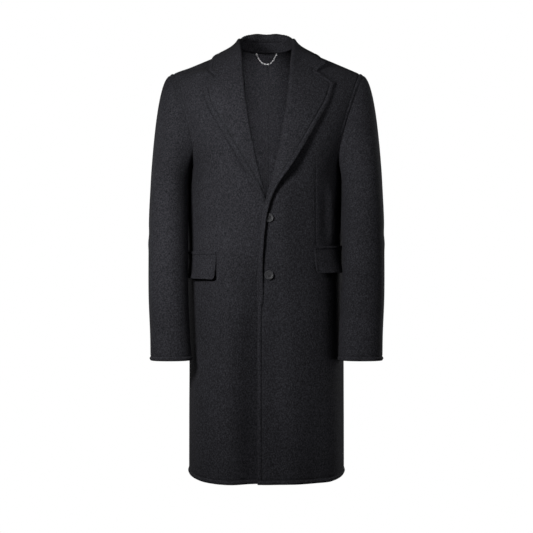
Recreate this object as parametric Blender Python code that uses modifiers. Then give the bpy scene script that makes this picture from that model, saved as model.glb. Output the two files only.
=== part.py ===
"""Double-face wool coat, filled out as if worn: single-breasted, two buttons, notched lapels, flap pockets.

Metres. Z is up, the front of the coat faces -Y, and +X is the wearer's left.
The origin lies between the neck points of the two shoulder seams.
Every cloth piece is a grid through the middle of its cloth, thickened evenly to both sides.
"""
import math

import bmesh
import bpy
import numpy as np
from mathutils import Vector

# Sides of the wearer, along X, and faces of the coat, along Y
RIGHT = -1
LEFT = 1
FRONT = -1
BACK = 1
SIDE_NAMES = {RIGHT: "right", LEFT: "left"}
FACE_NAMES = {FRONT: "front", BACK: "back"}

# Cloth
CLOTH = 0.0022          # thickness of the double-face wool
SEAM = 0.0003           # gap between two pieces at a seam, where their walls line up
TURNED_SEAM = 0.0008    # gap between the middles of two cloths that meet at an angle
BACK_SEAM_HALF = 0.00036        # half the gap of the centre-back seam
SHOULDER_SEAM_HALF = 0.00048    # half the gap of the shoulder seams

# Body form
LENGTH = 1.015          # neck point to hem
ARMPIT = -0.285         # height of the underarm
RIDGE = 0.010           # y of the shoulder seams
NECK = 0.068            # neck point of the shoulder seam from the middle
TIP = 0.2335            # shoulder tip from the middle
SHOULDER_SLOPE = 0.41   # fall of the shoulder seam for each metre outwards
NECK_POINT = 0.0040     # height of the neck points
NAPE_RISE = 0.031       # how far the form rises above the shoulder line at the nape
NAPE_REACH = 0.085      # half width of that rise
NAPE_ROUND = 0.008      # how far from the middle the two shoulder lines are rounded into each other
NAPE_CUT = 0.156        # share of the rise that the back neckline cuts away at the middle
NECKLINE_ROUND = 1.6    # roundness of the back neckline
TOP_HALF_WIDTH = 0.262  # half width towards which the form grows at shoulder height
DOME_RISE = 2.4         # roundness of chest and shoulder blades, up
DOME_DEPTH = 2.0        # roundness of chest and shoulder blades, forwards
BODY_COLUMNS = ("height", "half_right", "half_left", "front", "back", "side", "square")
BODY = (
    (-1.015, 0.1845, 0.1845, 0.1645, 0.1500, 0.000, 2.65),
    (-0.860, 0.1848, 0.1848, 0.1600, 0.1480, 0.006, 2.60),
    (-0.740, 0.1857, 0.1857, 0.1550, 0.1450, 0.018, 2.45),
    (-0.620, 0.1905, 0.1870, 0.1520, 0.1390, 0.036, 2.30),
    (-0.500, 0.1935, 0.1865, 0.1490, 0.1310, 0.045, 2.20),
    (-0.400, 0.1925, 0.1855, 0.1460, 0.1290, 0.045, 2.20),
    (-0.285, 0.1815, 0.1785, 0.1420, 0.1300, 0.014, 2.30),
)

# Soft vertical folds of the skirt: middle of the fold from the centre, its reach, how far it stands
# out, and the height at which it has died away
FOLD_COLUMNS = ("face", "middle", "reach", "stands_out", "top")
FOLDS = (
    (FRONT, -0.036, 0.030, -0.0050, -0.52),
    (FRONT, -0.100, 0.036, 0.0045, -0.60),
    (FRONT, 0.050, 0.034, 0.0030, -0.55),
    (FRONT, 0.112, 0.026, -0.0050, -0.60),
    (BACK, -0.085, 0.034, -0.0060, -0.45),
    (BACK, -0.030, 0.030, 0.0040, -0.52),
    (BACK, 0.045, 0.030, -0.0050, -0.50),
    (BACK, 0.105, 0.032, 0.0040, -0.60),
)

# Front edge and roll line: distance of the panel's inner edge from the middle towards its own side
FRONT_EDGE_COLUMNS = ("height", "across")
FRONT_EDGE = (
    (-1.015, -0.0202),
    (-0.827, -0.0202),
    (-0.600, -0.0185),
    (-0.512, -0.0145),
    (-0.455, -0.0085),
    (-0.410, -0.0036),
    (-0.370, 0.0056),
    (-0.308, 0.0222),
    (-0.239, 0.0368),
    (-0.167, 0.0484),
    (-0.095, 0.0562),
    (-0.044, 0.0603),
    (0.006, NECK),
)
LAP_OVER = 0.0052       # how far the left front stands out where it laps
LAP_UNDER = 0.0022      # how far the right front sinks there
LAP_REACH = (0.035, 0.085)     # distance from the middle where the lap is full, and where it ends
LAP_HEIGHT = (-0.365, -0.285)  # height up to which the lap is full, and where it ends

# Armholes
ARMHOLE_DEEPEST = {FRONT: 0.162, BACK: 0.172}   # least distance from the middle, on front and back
ARMHOLE_SPREAD = 1.2    # how the armhole line leans out towards the shoulder
ARMHOLE_HOOK = 12.0     # how sharply it turns out at the underarm

# Wearer's left front sits a little higher, as the coat hangs
LEFT_RISE = 0.0134

# Lapels: outer edge from the middle by height
LAPEL_EDGE_COLUMNS = ("height", "right", "left")
LAPEL_EDGE = (
    (-0.512, -0.0080, -0.0080),
    (-0.455, -0.0035, -0.0035),
    (-0.410, 0.0010, 0.0010),
    (-0.365, 0.0130, 0.0140),
    (-0.300, 0.0490, 0.0522),
    (-0.200, 0.1070, 0.1105),
    (-0.150, 0.1350, 0.1390),
    (-0.100, 0.1500, 0.1560),
)
LAPEL_END = {RIGHT: -0.385, LEFT: -0.468}   # lower end of a lapel
PEAKS = {RIGHT: (0.1436, -0.1134), LEFT: (0.1560, -0.1005)}   # peak of a lapel: across, height
GORGE_HEIGHT = -0.0545  # where the gorge seam meets the roll line, right side
NOTCH = (0.1144, -0.0880)       # inner corner of the notch, right side: across, height
COLLAR_TIP = (0.1345, -0.0690)  # tip of the collar, right side: across, height
ROLL_RADIUS = 0.0032    # roll of lapel and collar, to the middle of the cloth
ROLL_LOW_RADIUS = 0.0022        # the same at the lower end of a lapel
ROLL_GAP = 0.0011       # roll to the edge of the front that it continues
LAPEL_STAND_OFF = 0.0046        # edge of the lapel above the front
LAPEL_LOW_STAND_OFF = 0.0084    # the same at the lower end, where it lies over the button
LAPEL_ROLL_GROWN = 0.15 # share of the way up a lapel by which its roll is full
LAPEL_SETTLES = (0.1, 0.6)      # shares between which its edge comes down to its usual stand-off

# Collar: along it from the nape (0) to the gorge (1)
COLLAR_COLUMNS = ("along", "lean", "rise")
COLLAR = (
    (0.00, 0.20, 0.0455),
    (0.25, 0.16, 0.0445),
    (0.42, 0.02, 0.0370),
    (0.54, -0.18, 0.0255),
    (0.62, -0.50, 0.0135),
    (0.70, -0.50, 0.0065),
    (0.80, -0.40, 0.0025),
    (1.00, -0.20, 0.0000),
)
COLLAR_RADIUS = 0.0042  # roll of the collar at the nape
SHOULDER_ALONG = 0.62   # where along the collar the neck point of the shoulder lies
TIP_ALONG = 0.90        # where along the collar its tip lies
STAND_SHARE = 0.55      # share of the inner rise that is the stand
STAND_GAP = 0.0017      # foot of the stand above the middle of the body's cloth
GORGE_ALONGS = (0.95, 1.0)      # places along the collar beyond its tip, up to the gorge seam
SHOULDER_TURN = (4.0, 22.0)     # degrees over which the collar's stand-off turns with the shoulder
BELOW_RIDGE = 0.985     # share of the way up where the body's direction near the ridge is measured
LIES_BELOW = 0.97       # share of the way up below which the collar lies on the front
LEAF_EDGE_COLUMNS = ("along", "across", "turn")
LEAF_EDGE = (
    (0.00, 0.000, 42.0),
    (0.12, 0.030, 38.0),
    (0.25, 0.060, 30.0),
    (0.45, 0.099, 19.0),
    (0.62, 0.1170, 2.0),
    (0.76, 0.1275, -17.0),
)
LEAF_STAND_OFF = 0.0032 # edge of the collar above the body

# Sleeves: outer and inner edge seen from the front, middle and half depth seen from the side
SLEEVE_COLUMNS = ("height", "outer", "inner_right", "inner_left", "middle", "half_depth")
SLEEVE = (
    (-0.330, 0.2740, 0.1855, 0.1815, -0.030, 0.076),
    (-0.410, 0.2755, 0.1860, 0.1770, -0.051, 0.066),
    (-0.500, 0.2745, 0.1850, 0.1750, -0.069, 0.059),
    (-0.600, 0.2722, 0.1830, 0.1725, -0.085, 0.055),
    (-0.690, 0.2670, 0.1780, 0.1685, -0.098, 0.051),
    (-0.742, 0.2655, 0.1730, 0.1665, -0.105, 0.049),
)
SLEEVE_SQUARE = 2.2     # roundness of the sleeve sections
CUFF_TILT = 0.045       # rise of the cuff's front for each metre forwards
CAP_PULL = 0.34         # how far the sleeve head follows the shoulder before it falls
CAP_FALL = 1.05         # how straight it falls into the upper arm
SLEEVE_GAP = 0.0012     # sleeve head to armhole, between the middles of the cloths
UNDERARM_GAP = 0.0030   # more room where the cloth doubles back under the arm
UNDERARM_REACH = 3      # how closely that room keeps to the underarm
CAP_FORWARD = 0.30      # how far the sleeve head leaves the armhole forwards and backwards
CAP_DOWN = 1.2          # how far it leaves it downwards at the underarm
SLEEVE_STEP = 0.01      # step down the sleeve when its direction is measured
FRONT_SEAM_TURN = 165.0 # front seam of the sleeve, in degrees from its outside
BACK_SEAM_TURN = 285.0  # back seam of the sleeve

# Pockets: measured on the wearer's right
FLAP_INNER = 0.1142     # inner end of the flap from the middle
FLAP_LEFT_INNER = 0.1085
FLAP_TOP = -0.4990
FLAP_DEEP = 0.0580      # height of the flap
FLAP_OUTER_TURN = 78.0  # outer end of the flap, in degrees from the front towards the side
FLAP_CORNER = 0.0080    # rounding of its lower corners
FLAP_CLOTH = 0.0018
FLAP_LIFT = (0.0025, 0.0031)    # middle of the flap above the middle of the front, at top and bottom
WELT_DEEP = 0.0052
WELT_CLOTH = 0.0016
FLAP_SLOPE = 0.030      # fall of the flap's top edge for each metre towards the middle

# Buttons
BUTTON_ACROSS = 0.0057
BUTTON_HEIGHTS = {"button_top": -0.4169, "button_bottom": -0.5456}
BUTTON_RADIUS = 0.0102
BUTTON_THICK = 0.0027
BUTTON_RIM = 0.0022     # width of the raised rim
BUTTON_DISH = 0.0008    # depth of the dish inside the rim
BUTTON_EDGE = 0.0008    # rounding of its edges
BUTTON_RIM_FALL = 0.0002        # fall of the rim's top inwards

# Hanger chain
STUD_ACROSS = 0.0255
STUD_BELOW_SEAM = 0.0042
STUD_RADIUS = 0.0030
STUD_THICK = 0.0024
STUD_COLUMNS = ("radius_share", "height_share")
STUD = (
    (0.00, 0.00),
    (0.87, 0.00),
    (1.00, 0.25),
    (0.90, 0.60),
    (0.50, 0.95),
    (0.00, 1.00),
)
CHAIN_DROP = 0.0200
CHAIN_RADIUS = 0.0012
CHAIN_CLEAR = 0.0013    # chain to the cloth behind it
CHAIN_POINTS = 21

# Fineness of the grids
FRONT_ACROSS = 12
BACK_ACROSS = 10
SKIRT_ROWS = 11
CHEST_ROWS = 10
CHEST_ROWS_LEAN = 1.3   # how far the rows of the chest draw together at the underarm
CHEST_EVEN = 0.5        # share of the way up by which the columns of the chest stand evenly
SHOULDER_OPENS = 0.9    # share of the way up from which the shoulder seam opens
SLEEVE_AROUND = 24
CAP_ROWS = 6
ARM_ROWS = 9
LAPEL_ROWS = 14
LAPEL_ACROSS = 5
ROLL_STEPS = 5
COLLAR_STEPS = 30
FLAP_ACROSS = 9
FLAP_ROWS = 3
TURNED_STEPS = 20

SURFACE_STEP = 0.0008   # step along a surface when its direction is measured
LOOP_SAMPLES = 120      # points on half an armhole or sleeve section before they are spaced evenly
EDGE_ROUNDS = 6         # rounds that settle where the roll line crosses a row of the chest

# Finishes: colour, roughness, metallic
FINISHES = {
    "wool": ((0.030, 0.030, 0.034, 1.0), 0.85, 0.0),
    "horn": ((0.035, 0.035, 0.038, 1.0), 0.45, 0.0),
    "metal": ((0.75, 0.75, 0.76, 1.0), 0.30, 1.0),
}


def clear_objects():
    """Start from an empty file."""
    for item in list(bpy.data.objects):
        bpy.data.objects.remove(item, do_unlink=True)


def column(table, names, name):
    """One named column of a table."""
    return np.array([row[names.index(name)] for row in table], dtype=float)


def through(knots, values, at):
    """Smooth curve through a table's values, held level beyond its ends."""
    at = np.clip(np.asarray(at, dtype=float), knots[0], knots[-1])
    slopes = np.gradient(values, knots)
    index = np.clip(np.searchsorted(knots, at, side="right") - 1, 0, len(knots) - 2)
    span = knots[index + 1] - knots[index]
    share = (at - knots[index]) / span
    rest = 1.0 - share
    start = (1.0 + 2.0 * share) * rest ** 2 * values[index]
    end = (3.0 - 2.0 * share) * share ** 2 * values[index + 1]
    leave = share * rest ** 2 * span * slopes[index]
    reach = -share ** 2 * rest * span * slopes[index + 1]
    return start + end + leave + reach


def ease(low, high, at):
    """Soft step from 0 at low to 1 at high."""
    share = np.clip((np.asarray(at, dtype=float) - low) / (high - low), 0.0, 1.0)
    return share * share * (3.0 - 2.0 * share)


def mix(first, second, share):
    return first + (second - first) * share


def unit(vectors):
    return vectors / np.linalg.norm(vectors, axis=-1, keepdims=True)


def joined(x, y, z):
    """Points from three arrays that may differ in shape."""
    return np.stack(np.broadcast_arrays(x, y, z), axis=-1).astype(float)


def body_size(name, height):
    return through(column(BODY, BODY_COLUMNS, "height"), column(BODY, BODY_COLUMNS, name), height)


def half_width(side, height):
    return body_size("half_" + SIDE_NAMES[side], height)


def shoulder_top(across):
    """Height of the shoulder line, with the rise of the form towards the nape."""
    away = np.abs(across)
    line = NECK_POINT + SHOULDER_SLOPE * (NECK - np.hypot(across, NAPE_ROUND))
    nape = np.clip(1.0 - (away / NAPE_REACH) ** 2, 0.0, None) ** 2
    return line + NAPE_RISE * nape


def height_at(across, rise):
    """Height above the underarm at a share of the way up to the shoulder line."""
    return ARMPIT + rise * (shoulder_top(across) - ARMPIT)


def share_up(across, height):
    return np.clip((height - ARMPIT) / (shoulder_top(across) - ARMPIT), 0.0, 1.0)


def form_depth(side, across, height, face):
    """Y of the smooth body form, without folds."""
    rise = share_up(across, height)
    widest = mix(half_width(side, height), TOP_HALF_WIDTH, rise)
    square = body_size("square", height)
    depth = body_size(FACE_NAMES[face], height)
    to_side = np.clip(np.abs(across) / widest, 0.0, 1.0)
    round_off = np.clip(1.0 - to_side ** square, 0.0, 1.0) ** (1.0 / square)
    dome = np.clip(1.0 - rise ** DOME_RISE, 0.0, 1.0) ** (1.0 / DOME_DEPTH)
    section = mix(body_size("side", height), face * depth, round_off)
    return mix(RIDGE, section, dome)


def fold_height(x, height, face):
    """How far the soft folds of the skirt stand out."""
    total = 0.0
    for fold_face, middle, reach, stands_out, top in FOLDS:
        if fold_face == face:
            grown = ease(top, -LENGTH, height)
            total = total + stands_out * grown * np.exp(-((x - middle) / reach) ** 2)
    return total


def lap_out(side, across, height):
    """How far a front moves out or in where the fronts lap."""
    near = 1.0 - ease(LAP_REACH[0], LAP_REACH[1], across)
    low = 1.0 - ease(LAP_HEIGHT[0], LAP_HEIGHT[1], height)
    return (LAP_OVER if side == LEFT else -LAP_UNDER) * near * low


def front_point(side, across, height):
    """Middle of a front's cloth at a distance from the middle towards its own side."""
    x = side * np.asarray(across, dtype=float)
    depth = form_depth(side, across, height, FRONT)
    out = fold_height(x, height, FRONT) + lap_out(side, across, height)
    return joined(x, depth - out, height)


def back_point(side, across, height):
    x = side * np.asarray(across, dtype=float)
    depth = form_depth(side, across, height, BACK) + fold_height(x, height, BACK)
    return joined(x, depth, height)


def outward(surface, side, across, height):
    """Unit normal of a front or back, pointing away from the wearer."""
    step = SURFACE_STEP
    along_x = surface(side, across + step, height) - surface(side, across - step, height)
    along_z = surface(side, across, height + step) - surface(side, across, height - step)
    facing = side if surface is front_point else -side
    return unit(np.cross(along_x, along_z)) * facing


def front_edge(height):
    knots = column(FRONT_EDGE, FRONT_EDGE_COLUMNS, "height")
    return through(knots, column(FRONT_EDGE, FRONT_EDGE_COLUMNS, "across"), height)


def roll_across(rise):
    """Distance of the roll line from the middle at a share of the way up to the shoulder line."""
    across = NECK
    for _ in range(EDGE_ROUNDS):
        across = front_edge(height_at(across, rise))
    return across


def armhole_across(side, rise, face):
    """Distance of the armhole from the middle by the share of the way up to the shoulder."""
    deepest = ARMHOLE_DEEPEST[face]
    side_seam = half_width(side, ARMPIT)
    lean = (TIP - deepest) * rise ** ARMHOLE_SPREAD
    hook = (side_seam - deepest) * (1.0 - rise) ** ARMHOLE_HOOK
    return deepest + lean + hook


def chest_rises():
    """Shares of the way up for the rows above the underarm, close at both ends."""
    steps = np.linspace(0.0, 1.0, CHEST_ROWS + 1) ** CHEST_ROWS_LEAN
    return np.sin(0.5 * math.pi * steps)


def side_turn(height, face):
    """Turn round a section at which a panel ends, half a seam short of the side."""
    depth = body_size(FACE_NAMES[face], height)
    return math.acos((0.5 * SEAM / depth) ** (0.5 * body_size("square", height)))


def front_grid(side):
    """Rows from hem to shoulder, columns from the front edge to the side seam and armhole."""
    shares = np.linspace(0.0, 1.0, FRONT_ACROSS + 1)
    rows = []
    for height in np.linspace(-LENGTH, ARMPIT, SKIRT_ROWS + 1):
        widest = half_width(side, height)
        power = 2.0 / body_size("square", height)
        inner = front_edge(height)
        start = math.copysign(math.asin(abs(inner / widest) ** (1.0 / power)), inner)
        turns = np.linspace(start, side_turn(height, FRONT), FRONT_ACROSS + 1)
        across = widest * np.sign(turns) * np.abs(np.sin(turns)) ** power
        rows.append(front_point(side, across, np.full_like(across, height)))
    lowest = rows[-1][:, 0] * side
    lowest_shares = (lowest - lowest[0]) / (lowest[-1] - lowest[0])
    for rise in chest_rises()[1:]:
        inner = roll_across(rise)
        outer = armhole_across(side, rise, FRONT)
        spread = mix(lowest_shares, shares, ease(0.0, CHEST_EVEN, rise))
        across = inner + (outer - inner) * spread
        height = height_at(across, rise)
        row = front_point(side, across, height)
        row[:, 1] -= SHOULDER_SEAM_HALF * ease(SHOULDER_OPENS, 1.0, rise)
        rows.append(row)
    return np.array(rows)


def neck_rise(across):
    """Share of the way up at which a back ends: the shoulder seam, or the neckline near the middle."""
    inside = np.clip(across / NECK, 0.0, 1.0) ** NECKLINE_ROUND
    return 1.0 - NAPE_CUT * (1.0 - inside)


def back_grid(side):
    """Rows from hem to shoulder, columns from the centre-back seam to the side seam and armhole."""
    shares = np.linspace(0.0, 1.0, BACK_ACROSS + 1)
    neck_column = round(NECK / TIP * BACK_ACROSS)
    rows = []
    for height in np.linspace(-LENGTH, ARMPIT, SKIRT_ROWS + 1):
        widest = half_width(side, height)
        power = 2.0 / body_size("square", height)
        start = math.asin((BACK_SEAM_HALF / widest) ** (1.0 / power))
        turns = np.linspace(start, side_turn(height, BACK), BACK_ACROSS + 1)
        across = widest * np.sin(turns) ** power
        rows.append(back_point(side, across, np.full_like(across, height)))
    lowest_shares = rows[-1][:, 0] * side / (rows[-1][-1, 0] * side)
    top_marks = (BACK_SEAM_HALF / TIP, NECK / TIP, 1.0)
    top_shares = np.interp(shares, (0.0, neck_column / BACK_ACROSS, 1.0), top_marks)
    for rise in chest_rises()[1:]:
        spread = mix(lowest_shares, top_shares, ease(0.0, CHEST_EVEN, rise))
        across = armhole_across(side, rise, BACK) * spread
        cut = rise * neck_rise(across)
        row = back_point(side, across, height_at(across, cut))
        row[:, 1] += SHOULDER_SEAM_HALF * ease(SHOULDER_OPENS, 1.0, rise)
        rows.append(row)
    return np.array(rows)


def new_object(name, mesh, finish, collection):
    """A named object with a material of its own, shaded smooth."""
    item = bpy.data.objects.new(name, mesh)
    collection.objects.link(item)
    material = bpy.data.materials.new(name + "_" + finish)
    material.use_nodes = True
    shader = material.node_tree.nodes["Principled BSDF"]
    colour, roughness, metallic = FINISHES[finish]
    shader.inputs["Base Color"].default_value = colour
    shader.inputs["Roughness"].default_value = roughness
    shader.inputs["Metallic"].default_value = metallic
    material.diffuse_color = colour
    mesh.materials.append(material)
    for face in mesh.polygons:
        face.use_smooth = True
    return item


def cloth(name, points, collection, thickness=CLOTH):
    """A cloth piece: a grid moved onto the given rows of points, thickened evenly to both sides."""
    rows, columns = points.shape[:2]
    sheet = bmesh.new()
    bmesh.ops.create_grid(sheet, x_segments=columns - 1, y_segments=rows - 1, size=0.5)
    for vertex, place in zip(sheet.verts, points.reshape(-1, 3)):
        vertex.co = place
    mesh = bpy.data.meshes.new(name)
    sheet.to_mesh(mesh)
    sheet.free()
    item = new_object(name, mesh, "wool", collection)
    wall = item.modifiers.new("wall", "SOLIDIFY")
    wall.thickness = thickness
    wall.offset = 0.0
    wall.use_even_offset = True
    wall.use_quality_normals = True
    return item


def evenly(loop, count):
    """A closed loop of points at even distances, from its first point round to it again."""
    closed = np.vstack([loop, loop[:1]])
    lengths = np.concatenate([[0.0], np.cumsum(np.linalg.norm(np.diff(closed, axis=0), axis=1))])
    at = np.linspace(0.0, lengths[-1], count, endpoint=False)
    return np.stack([np.interp(at, lengths, closed[:, axis]) for axis in range(3)], axis=1)


def armhole_loop(side, count):
    """The armhole from the shoulder tip down the front, under the arm and up the back."""
    turns = np.linspace(0.0, 0.5 * math.pi, LOOP_SAMPLES)
    rises = np.cos(turns)
    front_across = armhole_across(side, rises, FRONT)
    front = front_point(side, front_across, height_at(front_across, rises))
    back_across = armhole_across(side, rises[::-1], BACK)
    back = back_point(side, back_across, height_at(back_across, rises[::-1]))
    return evenly(np.vstack([front, back[1:-1]]), count)


def sleeve_ring(side, height, count):
    """A section of the sleeve from its outside round the front, the inside and the back."""
    knots = column(SLEEVE, SLEEVE_COLUMNS, "height")[::-1]

    def size(name):
        return through(knots, column(SLEEVE, SLEEVE_COLUMNS, name)[::-1], height)

    outer = size("outer")
    inner = size("inner_" + SIDE_NAMES[side])
    turns = np.linspace(0.0, 2.0 * math.pi, 2 * LOOP_SAMPLES, endpoint=False)
    power = 2.0 / SLEEVE_SQUARE
    round_x = np.sign(np.cos(turns)) * np.abs(np.cos(turns)) ** power
    round_y = np.sign(np.sin(turns)) * np.abs(np.sin(turns)) ** power
    across = 0.5 * (outer + inner) + 0.5 * (outer - inner) * round_x
    forward = size("half_depth") * round_y
    tilt = CUFF_TILT * (1.0 - ease(knots[0], knots[-1], height))
    return evenly(joined(side * across, size("middle") - forward, height + tilt * forward), count)


def sleeve_grid(side, count):
    """Rows from the armhole to the cuff; columns round the sleeve."""
    loop = armhole_loop(side, count)
    heights = column(SLEEVE, SLEEVE_COLUMNS, "height")
    upper = sleeve_ring(side, heights[0], count)
    below = sleeve_ring(side, heights[0] - SLEEVE_STEP, count)
    turns = np.linspace(0.0, 2.0 * math.pi, count, endpoint=False)
    under = ((1.0 - np.cos(turns)) * 0.5)[:, None]
    forwards = -np.sin(turns)[:, None]
    downwards = -SHOULDER_SLOPE - CAP_DOWN * under
    leave = unit(np.hstack([np.full_like(under, side), CAP_FORWARD * forwards, downwards]))
    start = loop + leave * SLEEVE_GAP
    start[:, 0:1] += side * UNDERARM_GAP * under ** UNDERARM_REACH
    reach = np.linalg.norm(upper - start, axis=1, keepdims=True)
    arrive = unit(below - upper) * reach * CAP_FALL
    leave = leave * reach * CAP_PULL
    rows = []
    for share in np.linspace(0.0, 1.0, CAP_ROWS + 1):
        rest = 1.0 - share
        place = (1.0 + 2.0 * share) * rest ** 2 * start + (3.0 - 2.0 * share) * share ** 2 * upper
        rows.append(place + share * rest ** 2 * leave - share ** 2 * rest * arrive)
    for height in np.linspace(heights[0], heights[-1], ARM_ROWS + 1)[1:]:
        rows.append(sleeve_ring(side, height, count))
    return np.array(rows)


def seam_gap(points):
    """Draw the two long edges of a grid back from a seam."""
    for edge, next_in in ((0, 1), (-1, -2)):
        inwards = unit(points[:, next_in] - points[:, edge])
        points[:, edge] += inwards * 0.5 * TURNED_SEAM
    return points


def sleeve_halves(side):
    """Top and under sleeve, parted at the front and back seams."""
    rows = sleeve_grid(side, SLEEVE_AROUND)
    front_seam = round(FRONT_SEAM_TURN / 360.0 * SLEEVE_AROUND)
    back_seam = round(BACK_SEAM_TURN / 360.0 * SLEEVE_AROUND)
    top_columns = [index % SLEEVE_AROUND for index in range(back_seam, SLEEVE_AROUND + front_seam + 1)]
    under_columns = list(range(front_seam, back_seam + 1))
    top = rows[:, top_columns].copy()
    under = rows[:, under_columns].copy()
    return seam_gap(top), seam_gap(under)


def raised(side, height):
    """A height measured on the right, on either side."""
    return height + (LEFT_RISE if side == LEFT else 0.0)


def roll_frame(side, height):
    """Point on the roll line, outward normal there, and the direction across it into the neck opening."""
    across = front_edge(height)
    place = front_point(side, across, height)
    normal = outward(front_point, side, across, height)
    above = height + SURFACE_STEP
    below = height - SURFACE_STEP
    ahead = front_point(side, front_edge(above), above)
    behind = front_point(side, front_edge(below), below)
    inwards = unit(np.cross(normal, ahead - behind)) * side
    return place, normal, inwards


def lapel_edge_across(side, height):
    """Outer edge of a lapel, bent near the top so that it meets the peak."""
    knots = column(LAPEL_EDGE, LAPEL_EDGE_COLUMNS, "height")
    values = column(LAPEL_EDGE, LAPEL_EDGE_COLUMNS, SIDE_NAMES[side])
    peak_across, peak_height = PEAKS[side]
    miss = peak_across - through(knots, values, peak_height)
    return through(knots, values, height) + miss * ease(knots[-3], peak_height, height)


def lapel_grid(side):
    """Rows from the lower end up to the gorge seam, columns round the roll and out to the edge."""
    end = LAPEL_END[side]
    peak = PEAKS[side][1]
    gorge = raised(side, GORGE_HEIGHT) - SEAM
    notch_across = NOTCH[0]
    notch_height = raised(side, NOTCH[1]) - SEAM
    turned = math.pi * np.linspace(0.0, 1.0, ROLL_STEPS + 1)
    out_shares = np.linspace(0.0, 1.0, LAPEL_ACROSS + 1)[1:]
    rows = []
    for share in np.append(np.linspace(0.0, TIP_ALONG, LAPEL_ROWS), 1.0):
        height = mix(end, gorge, share)
        place, normal, inwards = roll_frame(side, height)
        radius = mix(ROLL_LOW_RADIUS, ROLL_RADIUS, ease(0.0, LAPEL_ROLL_GROWN, share))
        circle_in = np.sin(turned)[:, None] * inwards * radius
        circle_out = (1.0 - np.cos(turned))[:, None] * normal * radius
        roll = place + inwards * ROLL_GAP + circle_in + circle_out
        if share <= TIP_ALONG:
            edge_height = mix(end, peak, share / TIP_ALONG)
            edge_across = lapel_edge_across(side, edge_height)
        else:
            edge_height = notch_height
            edge_across = notch_across
        across = mix(front_edge(height), edge_across, out_shares)
        heights = mix(height, edge_height, out_shares)
        settled = ease(LAPEL_SETTLES[0], LAPEL_SETTLES[1], share)
        edge_lift = mix(LAPEL_LOW_STAND_OFF, LAPEL_STAND_OFF, settled)
        lift = mix(2.0 * radius, edge_lift, out_shares)[:, None]
        flat = front_point(side, across, heights) + outward(front_point, side, across, heights) * lift
        rows.append(np.vstack([roll, flat]))
    return np.array(rows)


def neck_seam(side, along):
    """Point on the neckline: along the back to the shoulder, then down the front to the gorge."""
    if along <= SHOULDER_ALONG:
        across = NECK * along / SHOULDER_ALONG
        return back_point(side, across, height_at(across, neck_rise(across)))
    share = (along - SHOULDER_ALONG) / (1.0 - SHOULDER_ALONG)
    gorge = raised(side, GORGE_HEIGHT) + TURNED_SEAM
    gorge_turn = math.acos(share_up(front_edge(gorge), gorge))
    rise = math.cos(gorge_turn * share)
    across = roll_across(rise)
    return front_point(side, across, height_at(across, rise))


def collar_size(name, along):
    return through(column(COLLAR, COLLAR_COLUMNS, "along"), column(COLLAR, COLLAR_COLUMNS, name), along)


def leaf_edge_spot(side, along):
    """Where the outer edge of the collar lies on the body: across, turn over the shoulder, and height."""
    tip_height = raised(side, COLLAR_TIP[1])
    tip_rise = share_up(COLLAR_TIP[0], tip_height)
    tip_turn = -math.degrees(math.acos(tip_rise ** (0.5 * DOME_RISE)))
    if along > TIP_ALONG:
        share = (along - TIP_ALONG) / (1.0 - TIP_ALONG)
        across = mix(COLLAR_TIP[0], NOTCH[0], share)
        return across, tip_turn, mix(tip_height, raised(side, NOTCH[1]) + TURNED_SEAM, share)
    knots = np.append(column(LEAF_EDGE, LEAF_EDGE_COLUMNS, "along"), TIP_ALONG)
    across = through(knots, np.append(column(LEAF_EDGE, LEAF_EDGE_COLUMNS, "across"), COLLAR_TIP[0]), along)
    turn = through(knots, np.append(column(LEAF_EDGE, LEAF_EDGE_COLUMNS, "turn"), tip_turn), along)
    rise = math.cos(math.radians(abs(turn))) ** (2.0 / DOME_RISE)
    return float(across), float(turn), float(height_at(across, rise))


def leaf_edge(side, along):
    """Outer edge of the collar: over the body to its tip, then along the notch."""
    across, turn, height = leaf_edge_spot(side, along)
    surface = front_point if turn < 0 else back_point
    sharp = outward(surface, side, across, min(height, float(height_at(across, BELOW_RIDGE))))
    top = unit(np.array([side * SHOULDER_SLOPE, 0.0, 1.0]))
    normal = unit(mix(top, sharp, ease(SHOULDER_TURN[0], SHOULDER_TURN[1], abs(turn))))
    return surface(side, across, height) + normal * leaf_lift(along)


def leaf_lift(along):
    """How far the edge of the collar stands above the body, as the lapel does at the gorge."""
    return mix(LEAF_STAND_OFF, LAPEL_STAND_OFF, ease(TIP_ALONG, 1.0, along))


def curve_between(start, end, leave, arrive, shares):
    """Curve that leaves and arrives in given directions, at shares of its way."""
    share = shares[:, None]
    rest = 1.0 - share
    reach = np.linalg.norm(end - start)
    place = (1.0 + 2.0 * share) * rest ** 2 * start + (3.0 - 2.0 * share) * share ** 2 * end
    return place + (share * rest ** 2 * leave - share ** 2 * rest * arrive) * reach


def gorge_line(side, along, shares):
    """The collar lying on the front from its roll to its edge, as the lapel does at the gorge seam."""
    seam = neck_seam(side, along)
    edge_across, _, edge_height = leaf_edge_spot(side, along)
    across = mix(abs(seam[0]), edge_across, shares)
    heights = np.minimum(mix(seam[2], edge_height, shares), height_at(across, LIES_BELOW))
    lift = mix(2.0 * ROLL_RADIUS, leaf_lift(along), shares)[:, None]
    return front_point(side, across, heights) + outward(front_point, side, across, heights) * lift


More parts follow.
